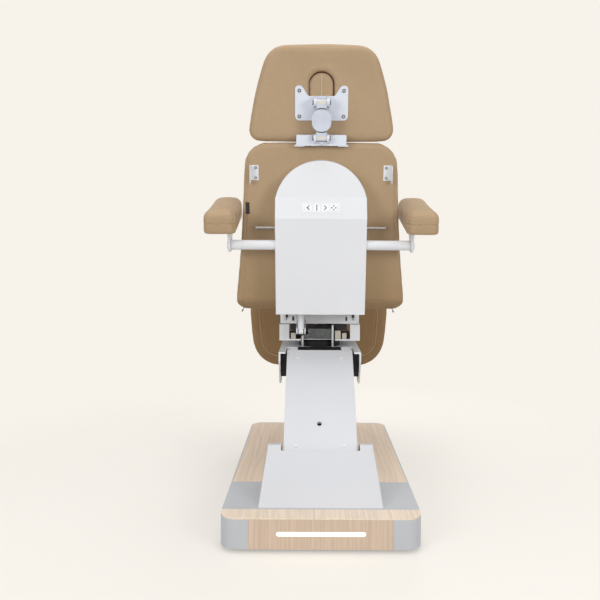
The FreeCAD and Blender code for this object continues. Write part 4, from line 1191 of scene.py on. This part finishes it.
back_cushion()
headrest_cushion()
face_plug()
seat_cushion()
legrest_cushion()
for name, side in (("left", -1), ("right", 1)):
    armrest_pad(name, side)


# Trim

MARK_SUNK = 0.0002


def flat_mark(name, shapes, matrix, face, height, material, body):
    """Thin raised shapes on a face that looks towards -Y in its frame."""
    mesh = bmesh.new()
    for shape in shapes:
        low = [mesh.verts.new((a, face + MARK_SUNK, b)) for a, b in shape]
        high = [mesh.verts.new((a, face - height, b)) for a, b in shape]
        skin(mesh, [low, high])
    new_trim(name, mesh, matrix, material, body, smooth=False)


def regular(centre, radius, count, turn=0.0):
    """Even polygon about a centre, its first corner at turn degrees."""
    angles = [math.radians(turn) + math.tau * step / count for step in range(count)]
    return [(centre[0] + radius * math.cos(angle), centre[1] + radius * math.sin(angle))
            for angle in angles]


def bar(start, end, width):
    """Straight stroke between two points."""
    start, end = Vector(start), Vector(end)
    along = (end - start).normalized() * width / 2
    side = Vector((-along.y, along.x))
    corners = (start - along - side, end + along - side, end + along + side, start - along + side)
    return [tuple(corner) for corner in corners]


KEY_SPACING = 0.0296
KEY_FACE = -0.0018
KEY_INK = 0.00015
STROKE = 0.0028
CHEVRON_TIP = 0.0042
CHEVRON_TAIL = 0.003
CHEVRON_RISE = 0.0068
SHAFT_RISE = 0.0062
ARROW_RISE = 0.0082
ARROW_RADIUS = 0.003
DOT_REACH = 0.0068
DOT_RADIUS = 0.0026


def key_marks():
    """Plain arrows and dots on the four keys."""
    def chevron(middle, way):
        tip = (middle + way * CHEVRON_TIP, 0.0)
        tail = middle - way * CHEVRON_TAIL
        return [bar((tail, level), tip, STROKE) for level in (CHEVRON_RISE, -CHEVRON_RISE)]

    def arrows(middle):
        shaft = bar((middle, -SHAFT_RISE), (middle, SHAFT_RISE), STROKE)
        heads = [regular((middle, side * ARROW_RISE), ARROW_RADIUS, 3, side * 90)
                 for side in (-1, 1)]
        return [shaft] + heads

    def dots(middle):
        return [regular((middle + a * DOT_REACH, b * DOT_REACH), DOT_RADIUS, 12)
                for a, b in ((1, 0), (-1, 0), (0, 1), (0, -1))]

    first, second, third, fourth = ((number - 2.5) * KEY_SPACING for number in range(1, 5))
    drawn = (chevron(first, -1), arrows(second), chevron(third, 1), dots(fourth))
    for number, shapes in enumerate(drawn, 1):
        flat_mark(f"key_mark_{number}", shapes, PANEL, KEY_FACE, KEY_INK, mark_ink,
                  f"key_{number}")


SCREW_SOCKET = 0.0034
SOCKET_HEIGHT = 0.0001
# Name, distance from the middle, levels, face of the heads and body of each set of screws.
SCREW_SETS = (
    ("headrest_sockets", 0.077, (0.711, 0.798), -0.0042, "headrest"),
    ("bracket_sockets", 0.232, (0.497, 0.533), -0.0047, "backrest"),
)


def screw_sockets():
    """Bright hexagon in each dark screw head, a painted reflection off the socket's floor."""
    for name, across, levels, face, body in SCREW_SETS:
        shapes = [regular((side * across, level), SCREW_SOCKET, 6)
                  for side in (-1, 1) for level in levels]
        flat_mark(name, shapes, BACK, face, SOCKET_HEIGHT, socket_shine, body)


KNUCKLE_LEVELS = (0.6395, 0.7590)
KNUCKLE_REAR = -0.0550
PAD_HALF = 0.0145
PAD_RISE = 0.0060
PAD_RADIUS = 0.003
PAD_HEIGHT = 0.0016


def knuckle_pads():
    """Cream plastic pads on the rear of both knuckles."""
    shapes = [box_line(-PAD_HALF, PAD_HALF, level - PAD_RISE, level + PAD_RISE, PAD_RADIUS)
              for level in KNUCKLE_LEVELS]
    flat_mark("knuckle_pads", shapes, BACK, KNUCKLE_REAR, PAD_HEIGHT, cream_pad,
              "head_link")


DISC_MIDDLE = 0.699
DISC_HALF = 0.0375
DISC_ROUND = 0.030
DISC_FLAT = 0.003
NECK_HALF = 0.0165
# Painted shadow: dark bands at the edges of the link's disc.
SHADOW_BAND_WIDTH = 0.0042
SHADOW_BAND_HEIGHT = 0.0008
RATCHET_FACE = -0.039
RATCHET_MIDDLE = 0.639
NOTCH_REACH = 0.0205
NOTCH_RADIUS = 0.0019
NOTCH_HEIGHT = 0.0002
NOTCH_TURNS = (-142, -116, -90, -64, -38)


def knuckle_shadow_bands():
    """Painted shadow: dark bands where the link's disc meets its neck, and dark dots in the notches
    of the ratchet.
    """
    shapes = []
    for way in (-1, 1):
        row = []
        for step in range(13):
            across = NECK_HALF * (step / 6 - 1)
            off = max(0.0, abs(across) - DISC_FLAT)
            row.append((across, DISC_HALF - DISC_ROUND + math.sqrt(DISC_ROUND ** 2 - off ** 2)))
        band = row + [(across, rise + SHADOW_BAND_WIDTH) for across, rise in reversed(row)]
        shapes.append([(across, DISC_MIDDLE + way * rise) for across, rise in band])
    flat_mark("knuckle_shadow_bands", shapes, BACK, KNUCKLE_REAR, SHADOW_BAND_HEIGHT, gap_shade,
              "head_link")
    # Painted shadow: dark dots in the ratchet's notches.
    notches = []
    for turn in map(math.radians, NOTCH_TURNS):
        level = RATCHET_MIDDLE + NOTCH_REACH * math.sin(turn)
        notches.append(regular((NOTCH_REACH * math.cos(turn), level), NOTCH_RADIUS, 10))
    flat_mark("ratchet_notch_shadows", notches, BACK, RATCHET_FACE, NOTCH_HEIGHT, gap_shade,
              "backrest")


LIP_FACE = 0.0515
LIP_DEPTH = 0.0056
LIP_LOW = 0.496
LIP_RADIUS = 0.003
# Name, left and right side, upper edge and slot.
LIPS = (
    # Painted shade: a black strip in the gap below the swivel ring.
    ("bearing_gap_shade", -0.084, 0.084, 0.5163, "rubber"),
    ("head_apron_left", -0.1245, -0.0845, 0.5088, "white_paint"),
    ("head_apron_right", 0.0845, 0.1245, 0.5088, "white_paint"),
)


def head_lips():
    """Black strip below the swivel ring as painted shade in the gap there, with a white apron at
    either side of it.
    """
    profile = arc_profile(LIP_DEPTH, rear_edge=0.002, front_edge=0.001, steps=3)
    for name, left, right, high, slot in LIPS:
        line = box_line(left, right, LIP_LOW, high, LIP_RADIUS)
        piece = soft_solid(name, line, profile, "Y", LIP_FACE)
        fix(piece, SLOT_FINISH[slot], "head")


# Left and right side and upper edge.
SWITCH_BLOCKS = ((-0.112, -0.0934, 0.5710), (0.0600, 0.0820, 0.5800), (0.0876, 0.1050, 0.5710))
SWITCH_FLOOR = 0.5486
SWITCH_REAR = 0.0465
SWITCH_DEPTH = 0.018
SWITCH_RADIUS = 0.0015


def switch_blocks():
    """Small end-switch boxes on the carriage floor, white ones coloured beige as painted shade."""
    profile = arc_profile(SWITCH_DEPTH, rear_edge=0.001, front_edge=0.001, steps=3)
    for number, (left, right, high) in enumerate(SWITCH_BLOCKS, 1):
        line = box_line(left, right, SWITCH_FLOOR, high, SWITCH_RADIUS)
        piece = soft_solid(f"switch_block_{number}", line, profile, "Y", SWITCH_REAR)
        fix(piece, switch_plastic_painted_shade, "carriage", smooth=False)


key_marks()
screw_sockets()
knuckle_pads()
knuckle_shadow_bands()
head_lips()
switch_blocks()


# Stage

CREAM = (0.931, 0.890, 0.823)
FLOOR_PAINT = (0.70, 0.68, 0.64)
FLOOR_HALF = 9
FLOOR_SHARE = 0.25
FLOOR_GLOW = 1.80
FLOOR_FADE = (0.75, 2.0)
SKY_MEAN = 0.38
SKY_SWING = 0.30
SKY_SIDE = (0.0, -0.80, 0.60)
# Name, spot, aim, width, power in watts, and whether reflections show the lamp.
LAMPS = (
    ("left", (-1.9, -2.6, 1.5), (0, 0, 0.85), 1.2, 27, True),
    ("right", (1.9, -2.6, 1.5), (0, 0, 0.85), 1.2, 27, True),
    ("top", (0, -0.3, 3.4), (0, -0.2, 0.5), 2.4, 27, True),
    ("front", (0.8, 3.3, 1.3), (0, 0, 0.8), 2.2, 56, False),
)
CAMERA_SPOT = (-0.0276, -2.402, 0.875)
CAMERA_TURN = (math.radians(90), -0.0046, 0)
CAMERA_SENSOR = 36
CAMERA_LENS = 37.76
CAMERA_SHIFT = (-0.0215, -0.075)


def floor_and_backdrop():
    """Pale floor that fades into the backdrop round the chair."""
    mesh = bmesh.new()
    bmesh.ops.create_grid(mesh, x_segments=2, y_segments=2, size=FLOOR_HALF)
    data = bpy.data.meshes.new("floor")
    mesh.to_mesh(data)
    mesh.free()
    floor = bpy.data.objects.new("floor", data)
    scene.collection.objects.link(floor)
    material, tree, shader = new_material("floor", Base_Color=(*FLOOR_PAINT, 1), Roughness=0.9,
                                          Specular_IOR_Level=0.0)
    glow = add(tree, "Emission", Color=(*CREAM, 1), Strength=FLOOR_GLOW).outputs["Emission"]
    rays = add(tree, "LightPath")
    seen = maths(tree, "MULTIPLY", rays.outputs["Is Camera Ray"], FLOOR_SHARE)
    ground = mixed_shader(tree, seen, shader.outputs["BSDF"], glow)
    distance = add(tree, "VectorMath", {"operation": "LENGTH"})
    feed(tree, distance.inputs[0], add(tree, "TexCoord").outputs["Object"])
    fade = remap(tree, distance.outputs["Value"], *FLOOR_FADE,
                 settings={"interpolation_type": "SMOOTHSTEP"})
    clear = add(tree, "BsdfTransparent").outputs["BSDF"]
    joined = mixed_shader(tree, fade, ground, clear)
    set_inputs(tree, tree.nodes["Material Output"], Surface=joined)
    wear(floor, material)


def world_light():
    """Cream to the camera and in reflections; as light, a white sky, brightest behind and above."""
    world = bpy.data.worlds.new("studio")
    scene.world = world
    world.use_nodes = True
    tree = world.node_tree
    tree.nodes.clear()
    seen = add(tree, "Background", Color=(*CREAM, 1), Strength=1.0)
    towards = add(tree, "VectorMath", {"operation": "DOT_PRODUCT"})
    feed(tree, towards.inputs[0], add(tree, "TexCoord").outputs["Generated"])
    feed(tree, towards.inputs[1], SKY_SIDE)
    swing = maths(tree, "MULTIPLY", towards.outputs["Value"], SKY_SWING)
    level = maths(tree, "ADD", swing, SKY_MEAN)
    light = add(tree, "Background", Color=(1.0, 1.0, 1.0, 1), Strength=level)
    rays = add(tree, "LightPath").outputs
    shown = maths(tree, "MAXIMUM", rays["Is Camera Ray"], rays["Is Transmission Ray"])
    shown = maths(tree, "MAXIMUM", shown, rays["Is Glossy Ray"])
    joined = mixed_shader(tree, shown, light.outputs["Background"], seen.outputs["Background"])
    add(tree, "OutputWorld", Surface=joined)


def lamp(name, spot, aim, size, power, glare):
    data = bpy.data.lights.new(name, "AREA")
    data.shape = "DISK"
    data.size = size
    data.energy = power
    item = bpy.data.objects.new(name, data)
    item.location = spot
    item.rotation_euler = (Vector(aim) - Vector(spot)).to_track_quat("-Z", "Y").to_euler()
    item.visible_camera = False
    item.visible_glossy = glare
    scene.collection.objects.link(item)


def camera():
    """Level camera straight behind the chair, at the photograph's framing."""
    data = bpy.data.cameras.new("camera")
    data.sensor_width = CAMERA_SENSOR
    data.lens = CAMERA_LENS
    data.shift_x, data.shift_y = CAMERA_SHIFT
    item = bpy.data.objects.new("camera", data)
    item.location = CAMERA_SPOT
    item.rotation_euler = CAMERA_TURN
    scene.collection.objects.link(item)
    scene.camera = item


floor_and_backdrop()
world_light()
for row in LAMPS:
    lamp(*row)
camera()
scene.view_settings.view_transform = "Standard"
